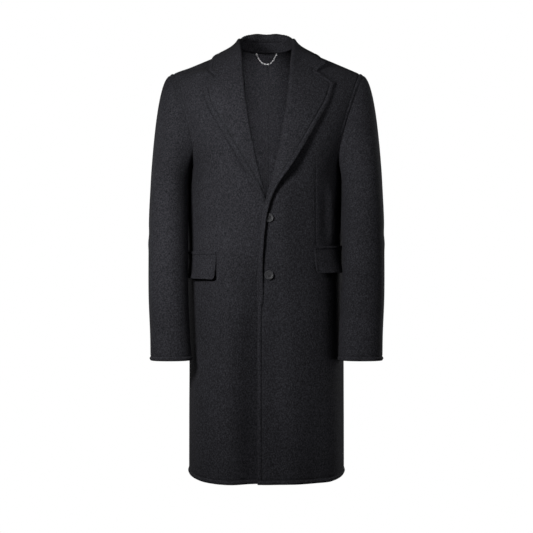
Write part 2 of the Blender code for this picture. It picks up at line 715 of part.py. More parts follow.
def collar_section(side, along):
    """Points of the collar at one place along it: the stand, then the leaf over its roll to the edge."""
    seam = neck_seam(side, along)
    _, normal, inwards = roll_frame(side, raised(side, GORGE_HEIGHT) + SEAM)
    radial = unit(seam - np.array([0.0, RIDGE, seam[2]]))
    upwards = unit(radial * collar_size("lean", along) + np.array([0.0, 0.0, 1.0]))
    turning = ease(SHOULDER_ALONG, 1.0, along)
    inner = unit(mix(upwards, inwards, turning))
    outer = mix(radial, normal, turning)
    outer = unit(outer - np.dot(outer, inner) * inner)
    radius = mix(COLLAR_RADIUS, ROLL_RADIUS, turning)
    rise = float(collar_size("rise", along))
    foot = seam + inner * STAND_GAP
    stand_top = STAND_SHARE * rise
    stand = [foot + inner * stand_top * share for share in (0.0, 0.5, 1.0)]
    leaf = [foot + inner * (mix(stand_top, rise, share) + TURNED_SEAM) for share in (0.0, 0.5)]
    middle = foot + inner * (rise + TURNED_SEAM) + outer * radius
    for turn in math.pi * np.linspace(0.0, 1.0, ROLL_STEPS + 1):
        leaf.append(middle - outer * radius * math.cos(turn) + inner * radius * math.sin(turn))
    shares = np.linspace(0.0, 1.0, LAPEL_ACROSS + 1)[1:]
    end = leaf_edge(side, along)
    falling = curve_between(leaf[-1], end, -inner, unit(end - leaf[-1]), shares)
    lying = gorge_line(side, along, shares)
    return np.array(stand), np.vstack([leaf, mix(falling, lying, ease(SHOULDER_ALONG, 1.0, along))])


def collar_grids():
    """Stand and leaf, from the right gorge round the nape to the left one."""
    stands = []
    leaves = []
    half = np.append(np.linspace(0.0, TIP_ALONG, COLLAR_STEPS // 2), GORGE_ALONGS)
    for side, alongs in ((RIGHT, half[::-1]), (LEFT, half[1:])):
        for along in alongs:
            stand, leaf = collar_section(side, float(along))
            if along <= TIP_ALONG:
                stands.append(stand)
            leaves.append(leaf)
    return np.array(stands), np.array(leaves)


def flap_grid(side, top_at_inner, deep, lifts, rows, corner):
    """A strip on the front from its inner end round towards the side, hanging down by its depth."""
    inner = FLAP_INNER if side == RIGHT else FLAP_LEFT_INNER
    widest = half_width(side, top_at_inner)
    power = 2.0 / body_size("square", top_at_inner)
    start = math.asin((inner / widest) ** (1.0 / power))
    turns = np.linspace(start, math.radians(FLAP_OUTER_TURN), FLAP_ACROSS + 1)
    first = widest * np.sin(turns) ** power
    depth = form_depth(side, first, np.full_like(first, top_at_inner), FRONT)
    run = np.concatenate([[0.0], np.cumsum(np.hypot(np.diff(first), np.diff(depth)))])
    from_corner = np.clip(corner - np.minimum(run, run[-1] - run), 0.0, corner)
    cut_away = corner - np.sqrt(corner ** 2 - from_corner ** 2)
    points = []
    for share in np.linspace(0.0, 1.0, rows + 1):
        height = top_at_inner + FLAP_SLOPE * run - share * (deep - cut_away)
        across = first * half_width(side, height) / widest
        lift = mix(lifts[0], lifts[1], share)
        points.append(front_point(side, across, height) + outward(front_point, side, across, height) * lift)
    return np.array(points)


def turned(name, profile, finish, collection):
    """A round piece turned about its own Z axis from a profile of (radius, height)."""
    mesh = bpy.data.meshes.new(name)
    places = [(radius, 0.0, height) for radius, height in profile]
    edges = [(index, index + 1) for index in range(len(places) - 1)]
    mesh.from_pydata(places, edges, [])
    item = new_object(name, mesh, finish, collection)
    screw = item.modifiers.new("turn", "SCREW")
    screw.axis = "Z"
    screw.angle = 2.0 * math.pi
    screw.steps = TURNED_STEPS
    screw.render_steps = TURNED_STEPS
    screw.use_merge_vertices = True
    screw.merge_threshold = 0.00001
    screw.use_normal_calculate = True
    return item


def stand_on(item, place, normal):
    """Put a turned piece on a surface, its Z axis along the surface's normal."""
    item.rotation_euler = Vector(normal).to_track_quat("Z", "Y").to_euler()
    item.location = place


def add_button(name, height, collection):
    lift = 0.5 * CLOTH + SEAM
    inside = BUTTON_RADIUS - BUTTON_RIM
    top = lift + BUTTON_THICK
    profile = (
        (0.0, lift),
        (BUTTON_RADIUS - BUTTON_EDGE, lift),
        (BUTTON_RADIUS, lift + BUTTON_EDGE),
        (BUTTON_RADIUS, top - BUTTON_EDGE),
        (BUTTON_RADIUS - BUTTON_EDGE, top),
        (inside, top - BUTTON_RIM_FALL),
        (inside - BUTTON_EDGE, top - BUTTON_DISH),
        (0.0, top - BUTTON_DISH),
    )
    item = turned(name, profile, "horn", collection)
    place = front_point(LEFT, BUTTON_ACROSS, height)
    stand_on(item, place, outward(front_point, LEFT, BUTTON_ACROSS, height))


def stud_place(side):
    """Where a stud sits inside the back, and the direction in which it faces."""
    height = height_at(STUD_ACROSS, neck_rise(STUD_ACROSS)) - STUD_BELOW_SEAM
    place = back_point(side, STUD_ACROSS, height)
    return place, -outward(back_point, side, STUD_ACROSS, height)


def add_stud(side, collection):
    lift = 0.5 * CLOTH + TURNED_SEAM
    profile = [(share * STUD_RADIUS, lift + up * STUD_THICK) for share, up in STUD]
    item = turned("hanger_stud_" + SIDE_NAMES[side], profile, "metal", collection)
    place, facing = stud_place(side)
    stand_on(item, place, facing)


def add_chain(collection):
    """A plain round cord of the chain's size, hanging in a curve between the studs."""
    left, _ = stud_place(LEFT)
    lift = 0.5 * CLOTH + CHAIN_CLEAR + CHAIN_RADIUS
    reach = left[0] - STUD_RADIUS - TURNED_SEAM
    curve = bpy.data.curves.new("hanger_chain", "CURVE")
    curve.dimensions = "3D"
    curve.bevel_depth = CHAIN_RADIUS
    curve.bevel_resolution = 1
    curve.use_fill_caps = True
    line = curve.splines.new("POLY")
    line.points.add(CHAIN_POINTS - 1)
    for index, share in enumerate(np.linspace(-1.0, 1.0, CHAIN_POINTS)):
        across = abs(share) * reach
        side = LEFT if share >= 0 else RIGHT
        height = left[2] - CHAIN_DROP * (1.0 - share * share)
        place = back_point(side, across, height) - outward(back_point, side, across, height) * lift
        line.points[index].co = (place[0], place[1], place[2], 1.0)
    source = bpy.data.objects.new("hanger_chain_line", curve)
    mesh = bpy.data.meshes.new_from_object(source)
    bpy.data.objects.remove(source, do_unlink=True)
    tube = bmesh.new()
    tube.from_mesh(mesh)
    bmesh.ops.remove_doubles(tube, verts=tube.verts, dist=0.00001)
    tube.to_mesh(mesh)
    tube.free()
    mesh.materials.clear()
    new_object("hanger_chain", mesh, "metal", collection)


def build():
    clear_objects()
    coat = bpy.data.collections.new("double_face_coat")
    bpy.context.scene.collection.children.link(coat)
    for side in (RIGHT, LEFT):
        name = SIDE_NAMES[side]
        cloth("front_" + name, front_grid(side), coat)
        cloth("back_" + name, back_grid(side), coat)
        top, under = sleeve_halves(side)
        cloth("sleeve_top_" + name, top, coat)
        cloth("sleeve_under_" + name, under, coat)
        cloth("lapel_" + name, lapel_grid(side), coat)
        flap_top = raised(side, FLAP_TOP)
        flap = flap_grid(side, flap_top, FLAP_DEEP, FLAP_LIFT, FLAP_ROWS, FLAP_CORNER)
        cloth("pocket_flap_" + name, flap, coat, FLAP_CLOTH)
        welt_lift = 0.5 * CLOTH + 2.0 * SEAM + 0.5 * WELT_CLOTH
        welt_top = flap_top + SEAM + WELT_DEEP
        welt = flap_grid(side, welt_top, WELT_DEEP, (welt_lift, welt_lift), 1, 0.0)
        cloth("pocket_welt_" + name, welt, coat, WELT_CLOTH)
        add_stud(side, coat)
    stand, leaf = collar_grids()
    cloth("collar_stand", stand, coat)
    cloth("collar_leaf", leaf, coat)
    for name, height in BUTTON_HEIGHTS.items():
        add_button(name, height, coat)
    add_chain(coat)


build()
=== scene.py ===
"""Looks of the double-face wool coat: each cut piece as a thin closed cloth with stitched edges and creases.

Metres, in the frame of the solids. Z is up, the front of the coat faces -Y, and +X is the wearer's left.
"""
import math

import bpy
import numpy as np
from mathutils import Matrix, Vector


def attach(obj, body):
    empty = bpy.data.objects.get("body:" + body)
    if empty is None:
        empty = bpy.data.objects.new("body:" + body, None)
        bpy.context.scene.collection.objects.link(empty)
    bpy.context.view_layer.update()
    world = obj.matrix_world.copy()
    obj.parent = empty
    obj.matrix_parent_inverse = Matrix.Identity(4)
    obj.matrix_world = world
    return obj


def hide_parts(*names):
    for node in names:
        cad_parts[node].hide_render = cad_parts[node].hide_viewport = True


# Sides of the wearer, along X, and faces of the coat, along Y
RIGHT = -1
LEFT = 1
FRONT = -1
BACK = 1
FORWARDS = (0.0, -1.0, 0.0)
BACKWARDS = (0.0, 1.0, 0.0)
SIDE_NAMES = {RIGHT: "right", LEFT: "left"}
FACE_NAMES = {FRONT: "front", BACK: "back"}

# Cloth
CLOTH = 0.0022          # thickness of the double-face wool

# Body form
LENGTH = 1.015          # neck point to hem
ARMPIT = -0.285         # height of the underarm
RIDGE = 0.010           # y of the shoulder seams
NECK = 0.068            # neck point of the shoulder seam from the middle
TIP = 0.2335            # shoulder tip from the middle
SHOULDER_SLOPE = 0.41   # fall of the shoulder seam for each metre outwards
NECK_POINT = 0.0040     # height of the neck points
NAPE_RISE = 0.031       # how far the form rises above the shoulder line at the nape
NAPE_REACH = 0.085      # half width of that rise
NAPE_ROUND = 0.008      # how far from the middle the two shoulder lines are rounded into each other
NAPE_CUT = 0.156        # share of the height above the underarm that the back neckline cuts away
NECKLINE_ROUND = 1.6    # roundness of the back neckline
TOP_HALF_WIDTH = 0.262  # half width towards which the form grows at shoulder height
DOME_RISE = 2.4         # roundness of chest and shoulder blades, up
DOME_DEPTH = 2.0        # roundness of chest and shoulder blades, forwards
BODY_COLUMNS = ("height", "half_right", "half_left", "front", "back", "side", "square")
BODY = (
    (-1.015, 0.1845, 0.1845, 0.1645, 0.1500, 0.000, 2.65),
    (-0.860, 0.1848, 0.1848, 0.1600, 0.1480, 0.006, 2.60),
    (-0.740, 0.1857, 0.1857, 0.1550, 0.1450, 0.018, 2.45),
    (-0.620, 0.1905, 0.1870, 0.1520, 0.1390, 0.036, 2.30),
    (-0.500, 0.1935, 0.1865, 0.1490, 0.1310, 0.045, 2.20),
    (-0.400, 0.1925, 0.1855, 0.1460, 0.1290, 0.045, 2.20),
    (-0.285, 0.1815, 0.1785, 0.1420, 0.1300, 0.014, 2.30),
)

# Soft folds of the skirt: face, middle, reach, how far it stands out, and the height where it has died away
FOLDS = (
    (FRONT, -0.036, 0.030, -0.0050, -0.52),
    (FRONT, -0.100, 0.036, 0.0045, -0.60),
    (FRONT, 0.050, 0.034, 0.0030, -0.55),
    (FRONT, 0.112, 0.026, -0.0050, -0.60),
    (BACK, -0.085, 0.034, -0.0060, -0.45),
    (BACK, -0.030, 0.030, 0.0040, -0.52),
    (BACK, 0.045, 0.030, -0.0050, -0.50),
    (BACK, 0.105, 0.032, 0.0040, -0.60),
)

# Front edge and roll line: distance of the panel's inner edge from the middle towards its own side
FRONT_EDGE_COLUMNS = ("height", "across")
FRONT_EDGE = (
    (-1.015, -0.0202),
    (-0.827, -0.0202),
    (-0.600, -0.0185),
    (-0.512, -0.0145),
    (-0.455, -0.0085),
    (-0.410, -0.0036),
    (-0.370, 0.0056),
    (-0.308, 0.0222),
    (-0.239, 0.0368),
    (-0.167, 0.0484),
    (-0.095, 0.0562),
    (-0.044, 0.0603),
    (0.006, NECK),
)
LAP_OVER = 0.0052       # how far the left front stands out where it laps
LAP_UNDER = 0.0022      # how far the right front sinks there
LAP_REACH = (0.035, 0.085)     # distance from the middle where the lap is full, and where it ends
LAP_HEIGHT = (-0.365, -0.285)  # height up to which the lap is full, and where it ends

# Armholes
ARMHOLE_DEEPEST = {FRONT: 0.162, BACK: 0.172}   # least distance from the middle, on front and back
ARMHOLE_SPREAD = 1.2    # how the armhole line leans out towards the shoulder
ARMHOLE_HOOK = 12.0     # how sharply it turns out at the underarm

# Wearer's left front sits a little higher, as the coat hangs
LEFT_RISE = 0.0134

# Lapels: outer edge from the middle by height
LAPEL_EDGE_COLUMNS = ("height", "right", "left")
LAPEL_EDGE = (
    (-0.512, -0.0080, -0.0080),
    (-0.455, -0.0035, -0.0035),
    (-0.410, 0.0010, 0.0010),
    (-0.365, 0.0130, 0.0140),
    (-0.300, 0.0490, 0.0522),
    (-0.200, 0.1070, 0.1105),
    (-0.150, 0.1350, 0.1390),
    (-0.100, 0.1500, 0.1560),
)
LAPEL_END = {RIGHT: -0.385, LEFT: -0.468}   # lower end of a lapel
PEAKS = {RIGHT: (0.1436, -0.1134), LEFT: (0.1560, -0.1005)}   # peak of a lapel: across, height
GORGE_HEIGHT = -0.0545  # where the gorge seam meets the roll line, right side
NOTCH = (0.1144, -0.0880)       # inner corner of the notch, right side: across, height
COLLAR_TIP = (0.1345, -0.0690)  # tip of the collar, right side: across, height
ROLL_RADIUS = 0.0032    # roll of lapel and collar, to the middle of the cloth
ROLL_LOW_RADIUS = 0.0022        # the same at the lower end of a lapel
ROLL_GAP = 0.0011       # roll to the edge of the front that it continues
LAPEL_STAND_OFF = 0.0046        # edge of the lapel above the front
LAPEL_LOW_STAND_OFF = 0.0084    # the same at the lower end, where it lies over the button
LAPEL_ROLL_GROWN = 0.15 # share of the way up a lapel by which its roll is full
LAPEL_SETTLES = (0.1, 0.6)      # shares between which its edge comes down to its usual stand-off

# Collar: along it from the nape (0) to the gorge (1)
COLLAR_COLUMNS = ("along", "lean", "rise")
COLLAR = (
    (0.00, 0.20, 0.0455),
    (0.25, 0.16, 0.0445),
    (0.42, 0.02, 0.0370),
    (0.54, -0.18, 0.0255),
    (0.62, -0.50, 0.0135),
    (0.70, -0.50, 0.0065),
    (0.80, -0.40, 0.0025),
    (1.00, -0.20, 0.0000),
)
COLLAR_RADIUS = 0.0042  # roll of the collar at the nape
SHOULDER_ALONG = 0.62   # where along the collar the neck point of the shoulder lies
TIP_ALONG = 0.90        # where along the collar its tip lies
STAND_SHARE = 0.55      # share of the inner rise that is the stand
STAND_GAP = 0.0017      # foot of the stand above the middle of the body's cloth
SHOULDER_TURN = (4.0, 22.0)     # degrees over which the collar's stand-off turns with the shoulder
BELOW_RIDGE = 0.985     # share of the way up where the body's direction near the ridge is measured
LIES_BELOW = 0.97       # share of the way up below which the collar lies on the front
LEAF_EDGE_COLUMNS = ("along", "across", "turn")
LEAF_EDGE = (
    (0.00, 0.000, 42.0),
    (0.12, 0.030, 38.0),
    (0.25, 0.060, 30.0),
    (0.45, 0.099, 19.0),
    (0.62, 0.1170, 2.0),
    (0.76, 0.1275, -17.0),
)

# Sleeves: outer and inner edge seen from the front, middle and half depth seen from the side
SLEEVE_COLUMNS = ("height", "outer", "inner_right", "inner_left", "middle", "half_depth")
SLEEVE = (
    (-0.330, 0.2740, 0.1855, 0.1815, -0.030, 0.076),
    (-0.410, 0.2755, 0.1860, 0.1770, -0.051, 0.066),
    (-0.500, 0.2745, 0.1850, 0.1750, -0.069, 0.059),
    (-0.600, 0.2722, 0.1830, 0.1725, -0.085, 0.055),
    (-0.690, 0.2670, 0.1780, 0.1685, -0.098, 0.051),
    (-0.742, 0.2655, 0.1730, 0.1665, -0.105, 0.049),
)
SLEEVE_SQUARE = 2.2     # roundness of the sleeve sections
CUFF_TILT = 0.045       # rise of the cuff's front for each metre forwards
CAP_PULL = 0.34         # how far the sleeve head follows the shoulder before it falls
CAP_FALL = 1.05         # how straight it falls into the upper arm
UNDERARM_REACH = 3      # how closely the added room keeps to the underarm
CAP_FORWARD = 0.30      # how far the sleeve head leaves the armhole forwards and backwards
CAP_DOWN = 1.2          # how far it leaves it downwards at the underarm
SLEEVE_STEP = 0.01      # step down the sleeve when its direction is measured
FRONT_SEAM_TURN = 165.0 # front seam of the sleeve, in degrees from its outside
BACK_SEAM_TURN = 285.0  # back seam of the sleeve

# Pockets: measured on the wearer's right
FLAP_INNER = 0.1142     # inner end of the flap from the middle
FLAP_LEFT_INNER = 0.1085
FLAP_TOP = -0.4990
FLAP_DEEP = 0.0580      # height of the flap
FLAP_OUTER_TURN = 78.0  # outer end of the flap, in degrees from the front towards the side
FLAP_CORNER = 0.0080    # rounding of its lower corners
WELT_DEEP = 0.0052
FLAP_SLOPE = 0.030      # fall of the flap's top edge for each metre towards the middle

# Buttons
BUTTON_ACROSS = 0.0057
BUTTON_HEIGHTS = {"button_top": -0.4169, "button_bottom": -0.5456}
BUTTON_RADIUS = 0.0102
BUTTON_THICK = 0.0027
BUTTON_RIM = 0.0022     # width of the raised rim
BUTTON_DISH = 0.0008    # depth of the dish inside the rim
BUTTON_EDGE = 0.0008    # rounding of its edges

# Hanger chain
STUD_ACROSS = 0.0255
STUD_BELOW_SEAM = 0.0042
STUD_RADIUS = 0.0030
STUD_THICK = 0.0024
STUD = (
    (0.00, 0.00),
    (0.87, 0.00),
    (1.00, 0.25),
    (0.90, 0.60),
    (0.50, 0.95),
    (0.00, 1.00),
)
CHAIN_DROP = 0.0200
CHAIN_RADIUS = 0.0012
CHAIN_CLEAR = 0.0013    # chain to the cloth behind it

SURFACE_STEP = 0.0008   # step along a surface when its direction is measured
LOOP_SAMPLES = 400      # points on half an armhole or sleeve section before they are spaced evenly
EDGE_ROUNDS = 6         # rounds that settle where the roll line crosses a row of the chest
CHEST_ROWS_LEAN = 1.3   # how far the rows of the chest draw together at the underarm
CHEST_EVEN = 0.5        # share of the way up by which the columns of the chest stand evenly

# Photograph and camera
PHOTO_SIZE = 533
METRES_PER_PIXEL = 0.00242      # at the camera's distance from the middle of the coat
CAMERA_FAR = 2.17
CAMERA_HEIGHT = -0.5264
SENSOR = 36.0

# Seams: here the pieces meet
SLEEVE_GAP = 0.0003     # sleeve head to armhole, between the middles of the cloths
UNDERARM_GAP = 0.0015   # more room where the cloth doubles back under the arm
UNDERARM_EASE = 0.8     # how much straighter the sleeve falls under the arm
TUCK_IN = 0.0030        # how far the sleeve's edge goes in under the body's cloth
TUCK_UNDER = 0.0012     # how far it lies below
TUCK_REACH = 0.0020     # how far out the sleeve is drawn down beside the seam
BUTTON_LIFT = 0.0014    # button above the cloth, on its thread
TINY = 1e-12
SHORT_ROW = 0.45        # most of a short row that the marks at one of its ends may take

# Fineness: first the dense rows from which the pieces are resampled, then the pieces themselves
DENSE_SKIRT = 150
CHEST_ROWS = 110
DENSE_ACROSS = 160
DENSE_AROUND = 480
DENSE_CAP = 60
DENSE_ARM = 110
DENSE_ROLL = 14
DENSE_LAPEL = 48
DENSE_TAIL = 40
DENSE_LAPEL_ROWS = 150
DENSE_NOTCH = 24
DENSE_STAND = 14
DENSE_COLLAR = 110
DENSE_FLAP = 90
DENSE_FLAP_ROWS = 60
PANEL_STEP = 0.0050
SLEEVE_GRID_STEP = 0.0048
TURNED_STEP = 0.0040
LEAF_STEP = 0.0013      # along the collar's leaf
FLAP_STEP = 0.0030

# Stitched edges
TOPSTITCH = 0.0100      # stitches from the edge
CUT = 0.0013            # reach of the rounding at a free edge
SEWN = 0.0005           # the same at a sewn one
FRONT_ROUNDS = (CUT, SEWN, CUT, SEWN)   # at the first and last column and the first and last row
BACK_ROUNDS = (SEWN, SEWN, CUT, SEWN)
SLEEVE_ROUNDS = (SEWN, SEWN, SEWN, CUT)
LAPEL_ROUNDS = (SEWN, CUT, CUT, SEWN)
STAND_ROUNDS = (SEWN, SEWN, SEWN, SEWN)
LEAF_ROUNDS = (SEWN, CUT, SEWN, SEWN)
FLAP_ROUNDS = (CUT, CUT, SEWN, CUT)
EDGE_MARKS = (0.0, 0.0003, 0.0008, 0.0014)
STITCH_MARKS = (0.0082, 0.0092, 0.0100, 0.0108, 0.0118)
STITCHED_MARKS = EDGE_MARKS + STITCH_MARKS
FIRST_STITCH = STITCHED_MARKS.index(TOPSTITCH)  # place of the stitches among those marks
LAST_STITCH = -1 - FIRST_STITCH         # the same, counted from the other end
BAND_PUFF = 0.0011      # how far the doubled edge swells
FRONT_PUFF = 0.0018     # the same at the front edge
LEAF_PUFF = 0.0004      # the same at the collar
HEM_PUFF = 0.0006       # the same at hem and cuffs
HEM_GROOVE = 0.0011
GROOVE = 0.0017         # how far the stitches draw in
GROOVE_WIDTH = 0.0012
BAND_TOP = (-0.602, -0.580)     # heights over which the front edge's band gives way to the lapel
ARMHOLE_BAND_STARTS = 0.030     # height above the underarm from which the armhole is stitched
FLARE = 0.0016          # how far a doubled hem stands out
FLARE_MIDDLE = 0.0040
FLARE_REACH = 0.0040
STITCH_PITCH = 0.0042
STITCH_SHARE = 0.74     # share of the pitch that shows as thread
STITCH_RADIUS = 0.00036
STITCH_LIFT = 0.00012
STITCH_AIM = 0.4        # share of the pitch, ahead and behind, over which a stitch takes its direction
STITCH_RINGS = 3
STITCH_SIDES = 6

# How much lower the hem of each front hangs, by distance from the middle
HEM_ACROSS = (-0.030, 0.010, 0.050, 0.100, 0.145, 0.185)
HEM_DROP = {
    RIGHT: (0.0042, 0.0042, 0.0036, 0.0026, 0.0030, 0.0),
    LEFT: (0.0, 0.0, -0.0008, 0.0014, 0.0030, 0.0),
}
HEM_DROP_REACH = 0.070

# Felled seam down the middle of the back, on the wearer's right
FELL_THICK = 0.0012
FELL_REACH = {RIGHT: 0.0060, LEFT: 0.0050}      # how far it lies to each side of the middle
FELL_STEP = 0.0006
FELL_PUFF = 0.0003
FELL_GROOVE = {RIGHT: 0.0, LEFT: 0.0012}        # beside its edge
FELL_GROOVE_WIDTH = 0.0009
FELL_MARKS = (0.0044, 0.0050, 0.0056, 0.0062, 0.0070)

# Fullness of the side seams under the arms
UNDERARM_FULL = 0.0050
UNDERARM_WIDE = 0.0150
UNDERARM_FROM = (-0.287, -0.308)        # heights over which it begins, going down
UNDERARM_TO = (-0.385, -0.340)          # heights over which it ends, the lower one first

# Darts from the chest down to the pockets
DART_ACROSS = 0.1127
DART_STARTS = (-0.500, -0.480)  # heights over which a dart begins
DART_ENDS = (-0.310, -0.250)    # and ends
DART_GROOVE = 0.0008
DART_WIDTH = 0.0011
DART_ROOM = (0.012, 0.022)      # least distances of the dart from the lapel's edge and from a row's end
PRESS_ROOM = (0.022, 0.040)     # least distances of the lapel's edge from a row's ends
DART_MARKS = (-0.0030, -0.0012, 0.0, 0.0012, 0.0030)

# Soft creases, listed one by one: two ends, width, and how far the cloth stands out
# On fronts and backs the ends are given by distance from the middle and height
CREASE_CORE = 0.30      # share of a crease's length, each way from its middle, that has its full depth
CREASE_FADE = 0.20
FRONT_CREASES = {
    RIGHT: (
        (0.165, -0.290, 0.120, -0.370, 0.018, -0.0016),
        (0.172, -0.330, 0.138, -0.420, 0.016, 0.0010),
        (0.150, -0.400, 0.158, -0.480, 0.014, -0.0010),
        (0.060, -0.470, 0.110, -0.455, 0.020, -0.0008),
        (0.095, -0.180, 0.150, -0.215, 0.022, -0.0008),
        (0.090, -0.600, 0.098, -0.980, 0.030, 0.0035),
        (0.006, -0.580, -0.002, -1.090, 0.042, -0.0150),
        (0.110, -0.080, 0.190, -0.067, 0.010, 0.0045),
        (0.117, -0.088, 0.109, -0.048, 0.019, -0.0090),
        (0.000, -0.560, -0.004, -1.090, 0.085, -0.0150),
        (0.105, -0.030, 0.195, -0.067, 0.014, -0.0085),
    ),
    LEFT: (
        (0.163, -0.290, 0.118, -0.360, 0.018, -0.0016),
        (0.150, -0.350, 0.151, -0.480, 0.008, 0.0042),
        (0.135, -0.350, 0.134, -0.460, 0.009, -0.0014),
        (0.170, -0.350, 0.166, -0.470, 0.009, -0.0014),
        (0.045, -0.440, 0.100, -0.425, 0.020, -0.0009),
        (0.100, -0.170, 0.152, -0.205, 0.022, -0.0008),
        (0.150, -0.800, 0.156, -0.980, 0.016, 0.0014),
        (0.024, -0.560, 0.028, -1.090, 0.030, -0.0060),
    ),
}
BACK_CREASES = {
    RIGHT: (
        (0.165, -0.300, 0.110, -0.375, 0.020, -0.0018),
        (0.150, -0.220, 0.085, -0.235, 0.026, -0.0010),
        (0.060, -0.420, 0.150, -0.445, 0.024, -0.0016),
        (0.040, -0.480, 0.130, -0.500, 0.022, 0.0012),
        (0.110, -0.600, 0.118, -0.880, 0.022, 0.0014),
    ),
    LEFT: (
        (0.163, -0.295, 0.112, -0.360, 0.020, -0.0017),
        (0.148, -0.205, 0.080, -0.225, 0.028, -0.0011),
        (0.055, -0.435, 0.145, -0.420, 0.022, -0.0014),
        (0.050, -0.500, 0.140, -0.475, 0.024, 0.0013),
        (0.080, -0.640, 0.072, -0.900, 0.024, -0.0012),
    ),
}
# On sleeves they are given by the share of the way round the piece and height
SLEEVE_CREASES = {
    "sleeve_top_": (
        (0.20, -0.440, 0.52, -0.455, 0.014, -0.0008),
        (0.15, -0.480, 0.45, -0.470, 0.012, 0.0008),
        (0.62, -0.250, 0.75, -0.330, 0.030, -0.0006),
    ),
    "sleeve_under_": (
        (0.30, -0.450, 0.95, -0.440, 0.012, -0.0018),
        (0.35, -0.480, 0.90, -0.490, 0.012, 0.0014),
        (0.30, -0.520, 0.80, -0.510, 0.012, -0.0012),
    ),
}
ARM_IN = {RIGHT: 0.0, LEFT: 0.0070}     # how much nearer the body the front of one sleeve hangs
ARM_IN_TURN = math.radians(135.0)       # the middle of that, round the sleeve
ARM_IN_WIDE = math.radians(38.0)
ARM_IN_FROM = (0.20, 0.30)      # depths below the neck over which that begins
ARM_IN_TO = (0.30, 0.41)        # and ends
ARM_CLEAR = {RIGHT: 0.0, LEFT: 0.0050}  # how far one sleeve gives way to the pocket flap under it
ARM_CLEAR_TURN = math.radians(195.0)    # the middle of that, round the sleeve
ARM_CLEAR_AROUND = math.radians(65.0)
ARM_CLEAR_DEPTH = 0.518         # and its depth below the neck
ARM_CLEAR_LONG = 0.060

# Where the outer face of a piece is told from its inner one: shares of its rows and columns
PANEL_PROBE = (0.26, 0.30)
SLEEVE_PROBE = (0.66, 0.50)
LAPEL_PROBE = (0.70, 0.90)
STAND_PROBE = (0.50, 0.50)
LEAF_PROBE = (0.50, 0.90)
FLAP_PROBE = (0.50, 0.10)

# Lapels and collar
LAPEL_CLOTH = 0.0028    # doubled at the edges
LAPEL_TAIL = {RIGHT: -0.385, LEFT: -0.612}      # where the turned edge has become the stitched edge
LAPEL_TAIL_CLOTH = 0.0010
LAPEL_TAIL_RADIUS = 0.0006
LAPEL_TAIL_THINS = 0.050        # height over which the turned edge thins out
LAPEL_TAIL_WIDENS = 0.060       # height over which it widens to the stitched edge
LAPEL_DEEP = {RIGHT: 0.0022, LEFT: 0.0034}      # roll at the lower end, from front to back
LAPEL_DEEP_GROWN = 0.30         # share of the way up by which it is as deep as wide
LAPEL_LOW_MORE = {RIGHT: 0.0, LEFT: 0.0020}     # more stand-off at the lower end
LAPEL_TILT = math.radians(34.0)         # how far the turned edge stands up below the lapel
LAPEL_TILT_GROWS = (-0.570, -0.450)     # heights over which it comes to stand up
LAPEL_LIES = (-0.455, -0.425)   # heights over which the turned edge comes to lie on the front
LAPEL_BULGE = 0.0012    # roundness of a lapel between roll and edge
LAPEL_LEVEL = 0.7       # share of the way up from which it flattens towards the gorge
LAPEL_SPRING = {RIGHT: 0.0015, LEFT: 0.0180}    # how far its edge springs off the front
LAPEL_SPRING_LOW = 0.60 # the smaller, the lower down it springs most
LAPEL_SPRING_WIDE = 0.030       # width from which it springs fully
LAPEL_PRESS = {RIGHT: 0.0036, LEFT: 0.0}        # how far the front gives way beside the edge
LAPEL_PRESS_WIDE = 0.0020
LAPEL_PRESS_OUT = 0.0018        # middle of that hollow beyond the edge
LAPEL_PRESS_FROM = 0.055        # height above the lapel's lower end from which it shows
LAPEL_PRESS_FADES = (0.028, 0.014)      # heights over which it begins and ends
LAPEL_PRESS_MARKS = (-0.0020, 0.0000, 0.0018, 0.0036, 0.0056)
LAPEL_SEWN_FROM = -0.515
LAPEL_LEAST = 0.0016    # least width of the turned edge beyond its roll

COLLAR_FORWARD = 0.0110         # how far the leaf bulges forwards over the stand inside the neck
LEAF_STAND_OFF = 0.0024         # edge of the collar above the body
STAND_RAISE = 0.0040            # how much higher the stand shows at the nape
COLLAR_TIP_SPRING = {RIGHT: 0.0012, LEFT: 0.0080}       # how far the collar's tips stand off the shoulders
COLLAR_TIP_WIDE = 0.08          # share of the collar's length over which they do
COLLAR_FORWARD_DIES = (0.22, 0.50)      # places along the collar over which it stands up again
COLLAR_LOWER = 0.0026   # how much lower its top comes by that
WRINKLE = 0.0013        # upright wrinkles inside the leaf
WRINKLE_PITCH = 0.0085
WRINKLE_UNEVEN = (1.4, 0.017)
WRINKLE_ENDS = (0.016, 0.024)   # distances from the stand over which they smooth out
WRINKLE_STARTS = 0.0060         # distance from the stand over which they begin
WRINKLE_SIDES = (0.055, 0.080)  # distances from the middle of the collar over which they smooth out

# Pockets
FLAP_CLOTH = 0.0026
FLAP_LIFT = (0.0018, 0.0115)    # middle of the flap above the middle of the front, at top and bottom
FLAP_RIM = 0.00025      # how far the flap's pressed edge stands proud
FLAP_RIM_REACH = 0.0045
FLAP_FULL = {RIGHT: 0.0030, LEFT: 0.0060}       # how far the flap stands off the curve of the side
FLAP_FULL_ACROSS = 0.160
FLAP_FULL_WIDE = 0.026
FLAP_TUCK = {RIGHT: 0.55, LEFT: 0.85}   # share by which the flap lies closer under the arm
FLAP_TUCK_FROM = (0.160, 0.178)         # distances from the middle over which that begins
WELT_LIFT = (0.0034, 0.0034)    # middle of the welt above the middle of the front, at top and bottom
WELT_CLOTH = 0.0030
WELT_OVER = 0.0012      # how far the welt lies over the flap's top edge

